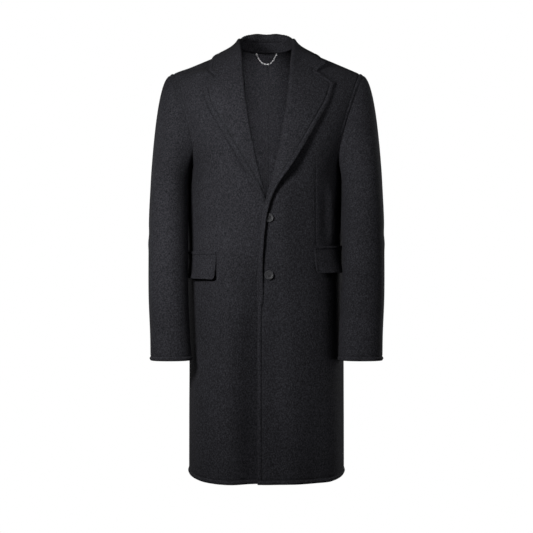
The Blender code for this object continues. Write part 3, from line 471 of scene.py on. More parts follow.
# Buttons
BUTTON_SEGMENTS = 64
BUTTON_SLOPE = 0.0012   # slope from the rim down into the dish
HOLE_RADIUS = 0.0015
HOLE_OUT = 0.0027       # holes from the middle
HOLE_REACH = 0.0080
HOLE_SEGMENTS = 20
BAR_REACH = 0.90        # half length of a bar of thread for each hole's distance
BAR_RADIUS = 0.00042
BAR_LIFT = 0.35
SHARP_ANGLE = 35.0
BUTTON_EDGE_STEPS = 5
CORNER_ROOM = 0.45      # most of a profile's side that the rounding at one of its ends may take

# Hanger chain
STUD_EDGE = 0.0004
STUD_EDGE_STEPS = 4
STUD_SUNK = 0.0002      # how far a stud sinks into the nap
STUD_SEGMENTS = 40
CHAIN_SAMPLES = 81
CHAIN_HANG = 2.6
CHAIN_RAISE = 0.0030    # studs and chain above the middles of their solids
LINK_LONG = 0.0059
LINK_WIDE = 0.0034
LINK_WIRE = 0.0010
LINK_STEPS = 9
LINK_SIDES = 10
LINK_TURN = 80.0

# Noises: lumps for each metre, detail and roughness
NOISES = {
    "lumps": (330.0, 2.0, 0.55),
    "fibres": (620.0, 3.0, 0.65),
    "clouds": (7.0, 2.0, 0.55),
    "nap": (1100.0, 4.0, 0.70),
    "twist": (2400.0, 2.0, 0.55),
    "streaks": (160.0, 3.0, 0.55),
    "polish": (640.0, 2.0, 0.55),
    "wear": (700.0, 3.0, 0.55),
}

# Wool: a bump is given by its strength and depth
WOOL_STREAK = (1.0, 1.0, 0.35)
WOOL_STREAK_TURN = 0.25
WOOL_SHARES = (0.45, 0.45, 0.10)        # lumps, fibres and clouds
WOOL_NAP_SHARES = (0.6, 0.4)            # nap and fibres
WOOL_COLOURS = (
    (0.39, (0.0123, 0.0122, 0.0146)),
    (0.50, (0.0282, 0.0280, 0.0336)),
    (0.61, (0.0535, 0.0532, 0.0630)),
)
WOOL_BUMP = (0.35, 0.0006)
WOOL_FINISH = {"Roughness": 0.92, "Specular IOR Level": 0.2, "Sheen Weight": 0.015, "Sheen Roughness": 0.5}

# Thread, horn and metal: a roughness is given by its spread and its least value
THREAD_COLOURS = ((0.35, (0.010, 0.010, 0.012)), (0.65, (0.024, 0.024, 0.028)))
THREAD_BUMP = (0.4, 0.0002)
THREAD_ROUGH = 0.75
HORN_STREAK = (1.0, 1.0, 0.25)
HORN_STREAK_TURN = 0.6
HORN_COLOURS = (
    (0.30, (0.030, 0.030, 0.034)),
    (0.55, (0.046, 0.046, 0.051)),
    (0.75, (0.070, 0.069, 0.074)),
)
HORN_BUMP = (0.08, 0.0001)
HORN_ROUGH = (0.16, 0.48)
METAL_COLOURS = ((0.35, (0.60, 0.60, 0.62)), (0.65, (0.78, 0.78, 0.79)))
METAL_BUMP = (0.05, 0.0001)
METAL_ROUGH = (0.2, 0.14)
METAL_SHARE = 0.72

# Studio
STAGE_RADIUS = 20.0
STAGE_SEGMENTS = 48
STAGE_RINGS = 24
FLOOR = -1.30
WORLD_LIGHT = 0.008
# Lamps: name, place, aim, width, height, power, and spread in degrees
LIGHTS = (
    ("key", (-0.54, -0.97, -0.16), (0.0, 0.0, -0.40), 0.24, 0.24, 8.0, 180.0),
    ("left_side", (-1.50, -0.55, -0.75), (0.0, 0.0, -0.75), 0.50, 0.50, 0.5, 180.0),
    ("right_low", (1.35, -0.80, -0.90), (0.13, -0.08, -0.85), 0.50, 0.50, 0.17, 50.0),
    ("right_high", (1.00, -1.00, 0.45), (0.17, -0.03, -0.02), 0.40, 0.40, 0.24, 40.0),
    ("back", (0.00, 2.20, -0.10), (0.0, 0.0, -0.45), 1.20, 1.20, 38.0, 180.0),
    ("left_rear", (-1.70, 1.20, -0.40), (0.0, 0.0, -0.50), 0.80, 0.80, 5.0, 180.0),
    ("right_rear", (1.70, 1.20, -0.40), (0.0, 0.0, -0.50), 0.80, 0.80, 10.0, 180.0),
    ("neck", (0.00, 0.042, -0.185), (0.0, 0.2, -0.185), 0.02, 0.325, 0.122, 180.0),
)
# Pieces that a lamp leaves out, because the inside of the neck has a lamp of its own
LEFT_OUT = {
    "key": ("back_left_cloth", "back_right_cloth"),
    "neck": ("collar_leaf_cloth", "collar_stand_cloth"),
}


def column(table, names, name):
    """One named column of a table."""
    return np.array([row[names.index(name)] for row in table], dtype=float)


def hermite(start, end, leave, arrive, share):
    """Curve that leaves its start and arrives at its end with given pulls, at a share of its way."""
    rest = 1.0 - share
    spot = (1.0 + 2.0 * share) * rest ** 2 * start + (3.0 - 2.0 * share) * share ** 2 * end
    return spot + share * rest ** 2 * leave - share ** 2 * rest * arrive


def through(knots, values, at):
    """Smooth curve through a table's values, held level beyond its ends."""
    at = np.clip(np.asarray(at, dtype=float), knots[0], knots[-1])
    slopes = np.gradient(values, knots)
    index = np.clip(np.searchsorted(knots, at, side="right") - 1, 0, len(knots) - 2)
    span = knots[index + 1] - knots[index]
    share = (at - knots[index]) / span
    return hermite(values[index], values[index + 1], span * slopes[index], span * slopes[index + 1], share)


def curve(table, names, name, at):
    """Smooth curve through one named column of a table, by its first column."""
    return through(column(table, names, names[0]), column(table, names, name), at)


def ease(ends, at):
    """Soft step from 0 at the first end to 1 at the second."""
    share = np.clip((np.asarray(at, dtype=float) - ends[0]) / (ends[1] - ends[0]), 0.0, 1.0)
    return share * share * (3.0 - 2.0 * share)


def bell(at, middle, width):
    """Soft bump that is 1 at its middle."""
    return np.exp(-((at - middle) / width) ** 2)


def mix(first, second, share):
    return first + (second - first) * share


def joined(x, y, z):
    """Points from three arrays that may differ in shape."""
    return np.stack(np.broadcast_arrays(x, y, z), axis=-1).astype(float)


def body_size(name, height):
    return curve(BODY, BODY_COLUMNS, name, height)


def half_width(side, height):
    return body_size("half_" + SIDE_NAMES[side], height)


def shoulder_top(across):
    """Height of the shoulder line, with the rise of the form towards the nape."""
    away = np.abs(across)
    line = NECK_POINT + SHOULDER_SLOPE * (NECK - np.hypot(across, NAPE_ROUND))
    nape = np.clip(1.0 - (away / NAPE_REACH) ** 2, 0.0, None) ** 2
    return line + NAPE_RISE * nape


def height_at(across, rise):
    """Height at a share of the way up from the underarm to the shoulder line."""
    return ARMPIT + rise * (shoulder_top(across) - ARMPIT)


def share_up(across, height):
    return np.clip((height - ARMPIT) / (shoulder_top(across) - ARMPIT), 0.0, 1.0)


def form_depth(side, across, height, face):
    """Y of the smooth body form, without folds."""
    rise = share_up(across, height)
    widest = mix(half_width(side, height), TOP_HALF_WIDTH, rise)
    square = body_size("square", height)
    depth = body_size(FACE_NAMES[face], height)
    to_side = np.clip(np.abs(across) / widest, 0.0, 1.0)
    round_off = np.clip(1.0 - to_side ** square, 0.0, 1.0) ** (1.0 / square)
    dome = np.clip(1.0 - rise ** DOME_RISE, 0.0, 1.0) ** (1.0 / DOME_DEPTH)
    section = mix(body_size("side", height), face * depth, round_off)
    return mix(RIDGE, section, dome)


def fold_height(x, height, face):
    """How far the soft folds of the skirt stand out."""
    total = 0.0
    for fold_face, middle, reach, stands_out, top in FOLDS:
        if fold_face == face:
            grown = ease((top, -LENGTH), height)
            total = total + stands_out * grown * bell(x, middle, reach)
    return total


def lap_out(side, across, height):
    """How far a front moves out or in where the fronts lap."""
    near = 1.0 - ease(LAP_REACH, across)
    low = 1.0 - ease(LAP_HEIGHT, height)
    return (LAP_OVER if side == LEFT else -LAP_UNDER) * near * low


def front_point(side, across, height):
    """Middle of a front's cloth at a distance from the middle towards its own side."""
    x = side * np.asarray(across, dtype=float)
    depth = form_depth(side, across, height, FRONT)
    out = fold_height(x, height, FRONT) + lap_out(side, across, height)
    return joined(x, depth - out, height)


def back_point(side, across, height):
    x = side * np.asarray(across, dtype=float)
    depth = form_depth(side, across, height, BACK) + fold_height(x, height, BACK)
    return joined(x, depth, height)


def outward(surface, side, across, height):
    """Unit normal of a front or back, pointing away from the wearer."""
    step = SURFACE_STEP
    along_x = surface(side, across + step, height) - surface(side, across - step, height)
    along_z = surface(side, across, height + step) - surface(side, across, height - step)
    facing = side if surface is front_point else -side
    return unit(np.cross(along_x, along_z)) * facing


def front_edge(height):
    return curve(FRONT_EDGE, FRONT_EDGE_COLUMNS, "across", height)


def roll_across(rise):
    """Distance of the roll line from the middle at a share of the way up to the shoulder line."""
    across = NECK
    for _ in range(EDGE_ROUNDS):
        across = front_edge(height_at(across, rise))
    return across


def armhole_across(side, rise, face):
    """Distance of the armhole from the middle by the share of the way up to the shoulder."""
    deepest = ARMHOLE_DEEPEST[face]
    side_seam = half_width(side, ARMPIT)
    lean = (TIP - deepest) * rise ** ARMHOLE_SPREAD
    hook = (side_seam - deepest) * (1.0 - rise) ** ARMHOLE_HOOK
    return deepest + lean + hook


def chest_rises():
    """Shares of the way up for the rows above the underarm, close at both ends."""
    steps = np.linspace(0.0, 1.0, CHEST_ROWS + 1) ** CHEST_ROWS_LEAN
    return np.sin(0.5 * math.pi * steps)


def neck_rise(across):
    """Share of the way up at which a back ends: the shoulder seam, or the neckline near the middle."""
    inside = np.clip(across / NECK, 0.0, 1.0) ** NECKLINE_ROUND
    return 1.0 - NAPE_CUT * (1.0 - inside)


def evenly(loop, count):
    """A closed loop of points at even distances, from its first point round to it again."""
    closed = np.vstack([loop, loop[:1]])
    lengths = lengths_along(closed)
    return at_length(closed, lengths, np.linspace(0.0, lengths[-1], count, endpoint=False))


def armhole_loop(side, count):
    """The armhole from the shoulder tip down the front, under the arm and up the back."""
    turns = np.linspace(0.0, 0.5 * math.pi, LOOP_SAMPLES)
    rises = np.cos(turns)
    front_across = armhole_across(side, rises, FRONT)
    front = front_point(side, front_across, height_at(front_across, rises))
    back_across = armhole_across(side, rises[::-1], BACK)
    back = back_point(side, back_across, height_at(back_across, rises[::-1]))
    return evenly(np.vstack([front, back[1:-1]]), count)


def sleeve_ring(side, height, count):
    """A section of the sleeve from its outside round the front, the inside and the back."""
    knots = column(SLEEVE, SLEEVE_COLUMNS, "height")[::-1]

    def size(name):
        return through(knots, column(SLEEVE, SLEEVE_COLUMNS, name)[::-1], height)

    outer = size("outer")
    inner = size("inner_" + SIDE_NAMES[side])
    turns = np.linspace(0.0, 2.0 * math.pi, 2 * LOOP_SAMPLES, endpoint=False)
    power = 2.0 / SLEEVE_SQUARE
    round_x = np.sign(np.cos(turns)) * np.abs(np.cos(turns)) ** power
    round_y = np.sign(np.sin(turns)) * np.abs(np.sin(turns)) ** power
    across = 0.5 * (outer + inner) + 0.5 * (outer - inner) * round_x
    forward = size("half_depth") * round_y
    tilt = CUFF_TILT * (1.0 - ease((knots[0], knots[-1]), height))
    return evenly(joined(side * across, size("middle") - forward, height + tilt * forward), count)


def raised(side, height):
    """A height measured on the right, on either side."""
    return height + (LEFT_RISE if side == LEFT else 0.0)


def roll_frame(side, height):
    """Point on the roll line, outward normal there, and the direction across it into the neck opening."""
    across = front_edge(height)
    spot = front_point(side, across, height)
    normal = outward(front_point, side, across, height)
    above = height + SURFACE_STEP
    below = height - SURFACE_STEP
    ahead = front_point(side, front_edge(above), above)
    behind = front_point(side, front_edge(below), below)
    inwards = unit(np.cross(normal, ahead - behind)) * side
    return spot, normal, inwards


def lapel_edge_across(side, height):
    """Outer edge of a lapel, bent near the top so that it meets the peak."""
    knots = column(LAPEL_EDGE, LAPEL_EDGE_COLUMNS, "height")
    values = column(LAPEL_EDGE, LAPEL_EDGE_COLUMNS, SIDE_NAMES[side])
    peak_across, peak_height = PEAKS[side]
    miss = peak_across - through(knots, values, peak_height)
    return through(knots, values, height) + miss * ease((knots[-3], peak_height), height)


def neck_seam(side, along):
    """Point on the neckline: along the back to the shoulder, then down the front to the gorge."""
    if along <= SHOULDER_ALONG:
        across = NECK * along / SHOULDER_ALONG
        return back_point(side, across, height_at(across, neck_rise(across)))
    share = (along - SHOULDER_ALONG) / (1.0 - SHOULDER_ALONG)
    gorge = raised(side, GORGE_HEIGHT)
    gorge_turn = math.acos(share_up(front_edge(gorge), gorge))
    rise = math.cos(gorge_turn * share)
    across = roll_across(rise)
    return front_point(side, across, height_at(across, rise))


def collar_size(name, along):
    return curve(COLLAR, COLLAR_COLUMNS, name, along)


def leaf_edge_spot(side, along):
    """Where the outer edge of the collar lies on the body: across, turn over the shoulder, and height."""
    tip_height = raised(side, COLLAR_TIP[1])
    tip_rise = share_up(COLLAR_TIP[0], tip_height)
    tip_turn = -math.degrees(math.acos(tip_rise ** (0.5 * DOME_RISE)))
    if along > TIP_ALONG:
        share = (along - TIP_ALONG) / (1.0 - TIP_ALONG)
        across = mix(COLLAR_TIP[0], NOTCH[0], share)
        return across, tip_turn, mix(tip_height, raised(side, NOTCH[1]), share)
    knots = np.append(column(LEAF_EDGE, LEAF_EDGE_COLUMNS, "along"), TIP_ALONG)
    across = through(knots, np.append(column(LEAF_EDGE, LEAF_EDGE_COLUMNS, "across"), COLLAR_TIP[0]), along)
    turn = through(knots, np.append(column(LEAF_EDGE, LEAF_EDGE_COLUMNS, "turn"), tip_turn), along)
    rise = math.cos(math.radians(abs(turn))) ** (2.0 / DOME_RISE)
    return float(across), float(turn), float(height_at(across, rise))


def leaf_edge(side, along):
    """Outer edge of the collar: over the body to its tip, then along the notch."""
    across, turn, height = leaf_edge_spot(side, along)
    surface = front_point if turn < 0 else back_point
    sharp = outward(surface, side, across, min(height, float(height_at(across, BELOW_RIDGE))))
    top = unit(np.array([side * SHOULDER_SLOPE, 0.0, 1.0]))
    normal = unit(mix(top, sharp, ease(SHOULDER_TURN, abs(turn))))
    return surface(side, across, height) + normal * leaf_lift(along)


def leaf_lift(along):
    """How far the edge of the collar stands above the body, as the lapel does at the gorge."""
    return mix(LEAF_STAND_OFF, LAPEL_STAND_OFF, ease((TIP_ALONG, 1.0), along))


def gorge_line(side, along, shares):
    """The collar lying on the front from its roll to its edge, as the lapel does at the gorge seam."""
    seam = neck_seam(side, along)
    edge_across, _, edge_height = leaf_edge_spot(side, along)
    across = mix(abs(seam[0]), edge_across, shares)
    heights = np.minimum(mix(seam[2], edge_height, shares), height_at(across, LIES_BELOW))
    lift = mix(2.0 * ROLL_RADIUS, leaf_lift(along), shares)[:, None]
    return front_point(side, across, heights) + outward(front_point, side, across, heights) * lift


def unit(vectors):
    return vectors / np.maximum(np.linalg.norm(vectors, axis=-1, keepdims=True), TINY)


def arc(points):
    """Distance along each row of a grid of points, from its start."""
    steps = np.linalg.norm(np.diff(points, axis=1), axis=2)
    return np.hstack([np.zeros((len(points), 1)), np.cumsum(steps, axis=1)])


def lengths_along(line):
    """Distance along a line of points, from its start."""
    return arc(line[None])[0]


def at_length(values, lengths, wanted):
    """Points or directions of a line at a length, or at several."""
    return np.stack([np.interp(wanted, lengths, values[:, axis]) for axis in range(3)], axis=-1)


def stations(marks, step):
    """Distances along every row: the marks, and even steps between them. Also where each mark ended up."""
    marks = np.array(np.broadcast_arrays(*marks), dtype=float)
    marks = np.maximum.accumulate(marks.reshape(len(marks), -1), axis=0)
    places = [marks[:1]]
    index = [0]
    for low, high in zip(marks[:-1], marks[1:]):
        count = max(1, math.ceil(float(np.max(high - low)) / step))
        shares = np.arange(1, count + 1)[:, None] / count
        places.append(low + (high - low) * shares)
        index.append(index[-1] + count)
    return np.concatenate(places).T, index


def resampled(points, places):
    """Points at given distances along each row of a grid."""
    places = np.broadcast_to(places, (len(points), places.shape[1]))
    return np.array([at_length(*row) for row in zip(points, arc(points), places)])


def flipped(points):
    """The same grid with its rows and columns changed round."""
    return points.transpose(1, 0, 2)


def marked(length, start, end, middle=()):
    """Marks from both ends of rows of given lengths and others between them, closer in short rows."""
    room = SHORT_ROW * length
    first = np.minimum(1.0, room / max(start[-1], TINY))
    last = np.minimum(1.0, room / max(end[-1], TINY))
    return [*[first * distance for distance in start], *middle,
            *[length - last * distance for distance in reversed(end)]]


def regrid(points, step, start=EDGE_MARKS, end=EDGE_MARKS, low=EDGE_MARKS, high=EDGE_MARKS, middle=None):
    """Resample a dense grid so that fine rows and columns follow its edges.

    start and end are distances from the first and last column, low and high from the first and last row.
    middle gives further marks along the rows. Also returns the places of the marks among columns and rows.
    """
    between = middle(points) if middle else ()
    places, column_index = stations(marked(arc(points)[:, -1], start, end, between), step)
    grid = flipped(resampled(points, places))
    places, row_index = stations(marked(arc(grid)[:, -1], low, high), step)
    return flipped(resampled(grid, places)), column_index, row_index


def edge_distances(points):
    """Distances of a grid's points from its first and last column and its first and last row."""
    across = arc(points)
    along = arc(flipped(points)).T
    return across, across[:, -1:] - across, along, along[-1:] - along


def grid_normals(points):
    """Unit normals of a grid of points."""
    down = np.gradient(points, axis=0)
    over = np.gradient(points, axis=1)
    return unit(np.cross(over, down))


def round_edge(distance, radius):
    """Share of the full thickness near an edge that is rounded off."""
    inside = np.clip(distance / radius, 0.0, 1.0)
    return np.sqrt(1.0 - (1.0 - inside) ** 2)


def band(distance, puff=BAND_PUFF, groove=GROOVE):
    """Relief of a stitched edge: a soft band along the edge, and the groove that the stitches draw in."""
    swell = puff * np.sin(math.pi * np.clip(distance / TOPSTITCH, 0.0, 1.0))
    return swell - groove * bell(distance, TOPSTITCH, GROOVE_WIDTH)


def creased(table, first, second):
    """Relief of soft creases and ridges that are given along lines."""
    total = np.zeros(np.broadcast(first, second).shape)
    for start_first, start_second, end_first, end_second, width, stands_out in table:
        run_first = end_first - start_first
        run_second = end_second - start_second
        length = math.hypot(run_first, run_second)
        along = ((first - start_first) * run_first + (second - start_second) * run_second) / length ** 2
        aside = ((first - start_first) * run_second - (second - start_second) * run_first) / length
        fade = bell(np.clip(np.abs(along - 0.5) - CREASE_CORE, 0.0, None), 0.0, CREASE_FADE)
        total = total + stands_out * fade * bell(aside, 0.0, width)
    return total


def mesh_from(name, points, faces):
    """A smooth mesh of four-sided or three-sided faces."""
    mesh = bpy.data.meshes.new(name)
    faces = np.asarray(faces, dtype=np.int32)
    sides = faces.shape[1]
    mesh.vertices.add(len(points))
    mesh.vertices.foreach_set("co", np.asarray(points, dtype=np.float32).ravel())
    mesh.loops.add(faces.size)
    mesh.loops.foreach_set("vertex_index", faces.ravel())
    mesh.polygons.add(len(faces))
    mesh.polygons.foreach_set("loop_start", np.arange(0, faces.size, sides, dtype=np.int32))
    mesh.polygons.foreach_set("use_smooth", np.ones(len(faces), dtype=bool))
    mesh.update(calc_edges=True)
    mesh.validate()
    return mesh


def quads(index):
    """Four-sided faces of a grid of vertex numbers."""
    corners = (index[:-1, :-1], index[:-1, 1:], index[1:, 1:], index[1:, :-1])
    return np.stack(corners, axis=-1).reshape(-1, 4)


def add_piece(name, mesh, material, slot, *nodes):
    """A piece of the coat that stands for the given solids."""
    item = bpy.data.objects.new(name, mesh)
    bpy.context.scene.collection.objects.link(item)
    mesh.materials.append(material)
    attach(item, "root")
    if nodes:
        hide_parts(*nodes)
    return item


def cloth_piece(name, points, probe, away, rounds, relief_out=0.0, relief_in=0.0, shift=0.0, thick=CLOTH):
    """A closed piece of cloth round a grid through its middle, with rounded edges and relief on both faces.

    At the probed place the cloth's outer face looks the given way. rounds gives the rounding at the first and
    last column and the first and last row. shift moves the whole cloth outwards.
    Returns the outer face and its normals.
    """
    normals = grid_normals(points)
    probed = tuple(int(share * (size - 1)) for share, size in zip(probe, points.shape))
    turned_over = float(np.dot(normals[probed], away)) < 0.0
    if turned_over:
        normals = -normals
    half = 0.5 * thick
    rim = np.ones(points.shape[:2])
    for distance, radius in zip(edge_distances(points), rounds):
        rim = rim * round_edge(distance, radius)
    outer = points + normals * (shift + rim * (half + relief_out))[..., None]
    inner = points + normals * (shift - rim * (half + relief_in))[..., None]
    index = np.arange(points.shape[0] * points.shape[1]).reshape(points.shape[:2])
    under = index + index.size
    on_rim = np.ones(index.shape, dtype=bool)
    on_rim[1:-1, 1:-1] = False
    under[on_rim] = index[on_rim]
    faces = np.vstack([quads(index), quads(under)[:, ::-1]])
    if turned_over:
        faces = faces[:, ::-1]
    vertices = np.vstack([outer.reshape(-1, 3), inner.reshape(-1, 3)])
    used, faces = np.unique(faces, return_inverse=True)
    mesh = mesh_from(name, vertices[used], faces.reshape(-1, 4))
    item = add_piece(name + "_cloth", mesh, WOOL, "wool", name)
    return outer, normals


def lathe(profile, segments):
    """Points and faces of a closed round body, from (radius, height) pairs that start and end on its axis."""
    turns = 2.0 * math.pi * np.arange(segments) / segments
    points = [(0.0, 0.0, profile[0][1])]
    for radius, height in profile[1:-1]:
        points.extend((radius * math.cos(turn), radius * math.sin(turn), height) for turn in turns)
    points.append((0.0, 0.0, profile[-1][1]))
    rings = len(profile) - 2
    last = len(points) - 1
    faces = []
    for side in range(segments):
        following = (side + 1) % segments
        faces.append((0, 1 + following, 1 + side))
        for ring in range(rings - 1):
            low = 1 + ring * segments
            high = low + segments
            faces.append((low + side, low + following, high + following))
            faces.append((low + side, high + following, high + side))
        low = 1 + (rings - 1) * segments
        faces.append((low + side, low + following, last))
    return np.array(points), np.array(faces)


def stitch_shape():
    """One stitch as a slim rounded bar: points along, across and up, and its faces."""
    turns = math.pi * np.linspace(0.0, 1.0, STITCH_RINGS + 2)
    points, faces = lathe([(math.sin(turn), math.cos(turn)) for turn in turns], STITCH_SIDES)
    return points[:, [2, 0, 1]], faces[:, ::-1]


def place_on(line, normals, lengths, middle, ahead, behind):
    """Point at a length along a line on a surface, and the directions along, across and up there."""
    here = at_length(line, lengths, middle)
    along = unit(at_length(line, lengths, middle + ahead) - at_length(line, lengths, middle - behind))
    across = unit(np.cross(at_length(normals, lengths, middle), along))
    return here, along, across, np.cross(along, across)


class Sewing:
    """Collects the stitches of several seams into one piece."""

    def __init__(self, name):
        self.name = name
        self.points = []
        self.faces = []

    def run(self, line, normals):
        """Stitches at an even pitch along a line on a cloth's face."""
        shape, faces = stitch_shape()
        shape = shape * np.array([0.5 * STITCH_SHARE * STITCH_PITCH, STITCH_RADIUS, STITCH_RADIUS])
        lengths = lengths_along(line)
        aim = STITCH_AIM * STITCH_PITCH
        for middle in np.arange(0.5 * STITCH_PITCH, lengths[-1] - 0.5 * STITCH_PITCH, STITCH_PITCH):
            here, *directions = place_on(line, normals, lengths, middle, aim, aim)
            self.faces.append(faces + len(self.points) * len(shape))
            self.points.append(here + STITCH_LIFT * directions[2] + shape @ np.array(directions))

    def finish(self):
        mesh = mesh_from(self.name, np.vstack(self.points), np.vstack(self.faces))
        add_piece(self.name, mesh, THREAD, "wool")


def panel_rows(side, face):
    """Dense rows of a front or back from hem to shoulder, from its inner edge to side seam or armhole."""
    surface = front_point if face == FRONT else back_point
    rows = []
    for height in np.linspace(-LENGTH, ARMPIT, DENSE_SKIRT + 1):
        widest = half_width(side, height)
        power = 2.0 / body_size("square", height)
        inner = front_edge(height) if face == FRONT else 0.0
        start = math.copysign(math.asin(abs(inner / widest) ** (1.0 / power)), inner)
        turns = np.linspace(start, 0.5 * math.pi, DENSE_ACROSS + 1)
        across = widest * np.sign(turns) * np.abs(np.sin(turns)) ** power
        rows.append(surface(side, across, np.full_like(across, height)))
    lowest = rows[-1][:, 0] * side
    lowest_shares = (lowest - lowest[0]) / (lowest[-1] - lowest[0])
    shares = np.linspace(0.0, 1.0, DENSE_ACROSS + 1)
    for rise in chest_rises()[1:]:
        inner = roll_across(rise) if face == FRONT else 0.0
        outer = armhole_across(side, rise, face)
        across = inner + (outer - inner) * mix(lowest_shares, shares, ease((0.0, CHEST_EVEN), rise))
        up = rise if face == FRONT else rise * neck_rise(across)
        rows.append(surface(side, across, height_at(across, up)))
    return np.array(rows)


def crossing(values, wanted, run):
    """Distance along each row at which its values pass a wanted one."""
    return np.array([np.interp(wanted, row, lengths) for row, lengths in zip(values, run)])


def pressed_line(side, points):
    """Where the outer edge of the lapel crosses the rows of a front, as a distance along each row."""
    run = arc(points)
    edge = lapel_rows(side)[:, -1]
    peak = (edge[:, 0] * side).argmax()
    edge = edge[edge[:, 2] <= edge[peak, 2]]
    heights = np.clip(points[..., 2], LAPEL_END[side] + LAPEL_PRESS_FROM, edge[-1, 2])
    beyond = points[..., 0] * side - np.interp(heights, edge[:, 2], edge[:, 0] * side)
    return np.clip(crossing(beyond, 0.0, run), PRESS_ROOM[0], run[:, -1] - PRESS_ROOM[1])


def front_marks(side, points):
    """Where the lapel's edge and the dart cross the rows of a front."""
    run = arc(points)
    pressed = pressed_line(side, points)
    dart = crossing(points[..., 0] * side, DART_ACROSS, run)
    dart = np.clip(dart, pressed + DART_ROOM[0], run[:, -1] - DART_ROOM[1])
    return [pressed + offset for offset in LAPEL_PRESS_MARKS] + [dart + offset for offset in DART_MARKS]


def add_panel(name, points, edges, marks, away, rounds, relief, inside, shift, sewing):
    """A front or back with its stitched armhole and hem. Returns its outer face and the normals there."""
    columns, rows = marks
    _, to_side, from_hem, _ = edges
    height = points[..., 2]
    stitched_from = ARMPIT + ARMHOLE_BAND_STARTS
    relief = relief + band(to_side) * ease((ARMPIT, stitched_from), height)
    relief = relief + band(from_hem, HEM_PUFF, HEM_GROOVE)
    shift = shift + flare(from_hem) + underarm_fullness(to_side, height)
    outer, normals = cloth_piece(name, points, PANEL_PROBE, away, rounds, relief, inside, shift)
    armhole = columns[LAST_STITCH]
    sewn = height[:, armhole] > stitched_from
    sewing.run(outer[sewn, armhole], normals[sewn, armhole])
    hem = rows[FIRST_STITCH]
    sewing.run(outer[hem], normals[hem])
    return outer, normals


def add_front(side, sewing):
    """A front with its stitched edge, its dart, the line where the lapel presses, and its soft creases."""
    points, *marks = regrid(panel_rows(side, FRONT), PANEL_STEP, STITCHED_MARKS, STITCHED_MARKS,
                            STITCHED_MARKS, middle=lambda rows: front_marks(side, rows))
    edges = edge_distances(points)
    from_edge, _, from_hem, _ = edges
    across = points[..., 0] * side
    lower = np.interp(across, HEM_ACROSS, HEM_DROP[side])
    points[..., 2] -= lower * (1.0 - ease((0.0, HEM_DROP_REACH), from_hem))
    height = points[..., 2]
    relief = band(from_edge, FRONT_PUFF) * (1.0 - ease(BAND_TOP, height))
    dart = ease(DART_STARTS, height) * (1.0 - ease(DART_ENDS, height))
    relief = relief - DART_GROOVE * dart * bell(across, DART_ACROSS, DART_WIDTH)
    press_low = LAPEL_END[side] + LAPEL_PRESS_FROM
    press = ease((press_low, press_low + LAPEL_PRESS_FADES[0]), height)
    press = press * (1.0 - ease((PEAKS[side][1] - LAPEL_PRESS_FADES[1], PEAKS[side][1]), height))
    beside = from_edge - pressed_line(side, points)[:, None]
    press = press * bell(beside, LAPEL_PRESS_OUT, LAPEL_PRESS_WIDE)
    shift = creased(FRONT_CREASES[side], across, height) - LAPEL_PRESS[side] * press
    outer, normals = add_panel("front_" + SIDE_NAMES[side], points, edges, marks, FORWARDS, FRONT_ROUNDS,
                               relief, 0.0, shift, sewing)
    edge = marks[0][FIRST_STITCH]
    sewn = height[:, edge] < BAND_TOP[0]
    sewing.run(outer[sewn, edge], normals[sewn, edge])


def underarm_fullness(to_side, height):
    """How far the cloth stands out beside the side seam, just under the arm."""
    full = ease(UNDERARM_FROM, height) * ease(UNDERARM_TO, height)
    return UNDERARM_FULL * full * bell(to_side, 0.0, UNDERARM_WIDE)


def flare(distance):
    """How far the doubled cloth at a hem or cuff stands out."""
    return FLARE * bell(distance, FLARE_MIDDLE, FLARE_REACH) * ease((0.0, FLARE_MIDDLE), distance)


def add_back(side, sewing):
    """A back with the felled seam at the middle and its soft creases."""
    points, *marks = regrid(panel_rows(side, BACK), PANEL_STEP, EDGE_MARKS + FELL_MARKS + STITCH_MARKS,
                            STITCHED_MARKS, STITCHED_MARKS)
    edges = edge_distances(points)
    from_middle = edges[0]
    fell_end = FELL_REACH[side] + FELL_STEP
    inside = FELL_THICK * (1.0 - ease((FELL_REACH[side], fell_end), from_middle))
    inside = inside - FELL_GROOVE[side] * bell(from_middle, fell_end, FELL_GROOVE_WIDTH)
    relief = band(from_middle, FELL_PUFF) if side == RIGHT else 0.0
    shift = creased(BACK_CREASES[side], points[..., 0] * side, points[..., 2])
    outer, normals = add_panel("back_" + SIDE_NAMES[side], points, edges, marks, BACKWARDS, BACK_ROUNDS,
                               relief, inside, shift, sewing)
    if side == RIGHT:
        fell = marks[0][FIRST_STITCH + len(FELL_MARKS)]
        sewing.run(outer[:, fell], normals[:, fell])


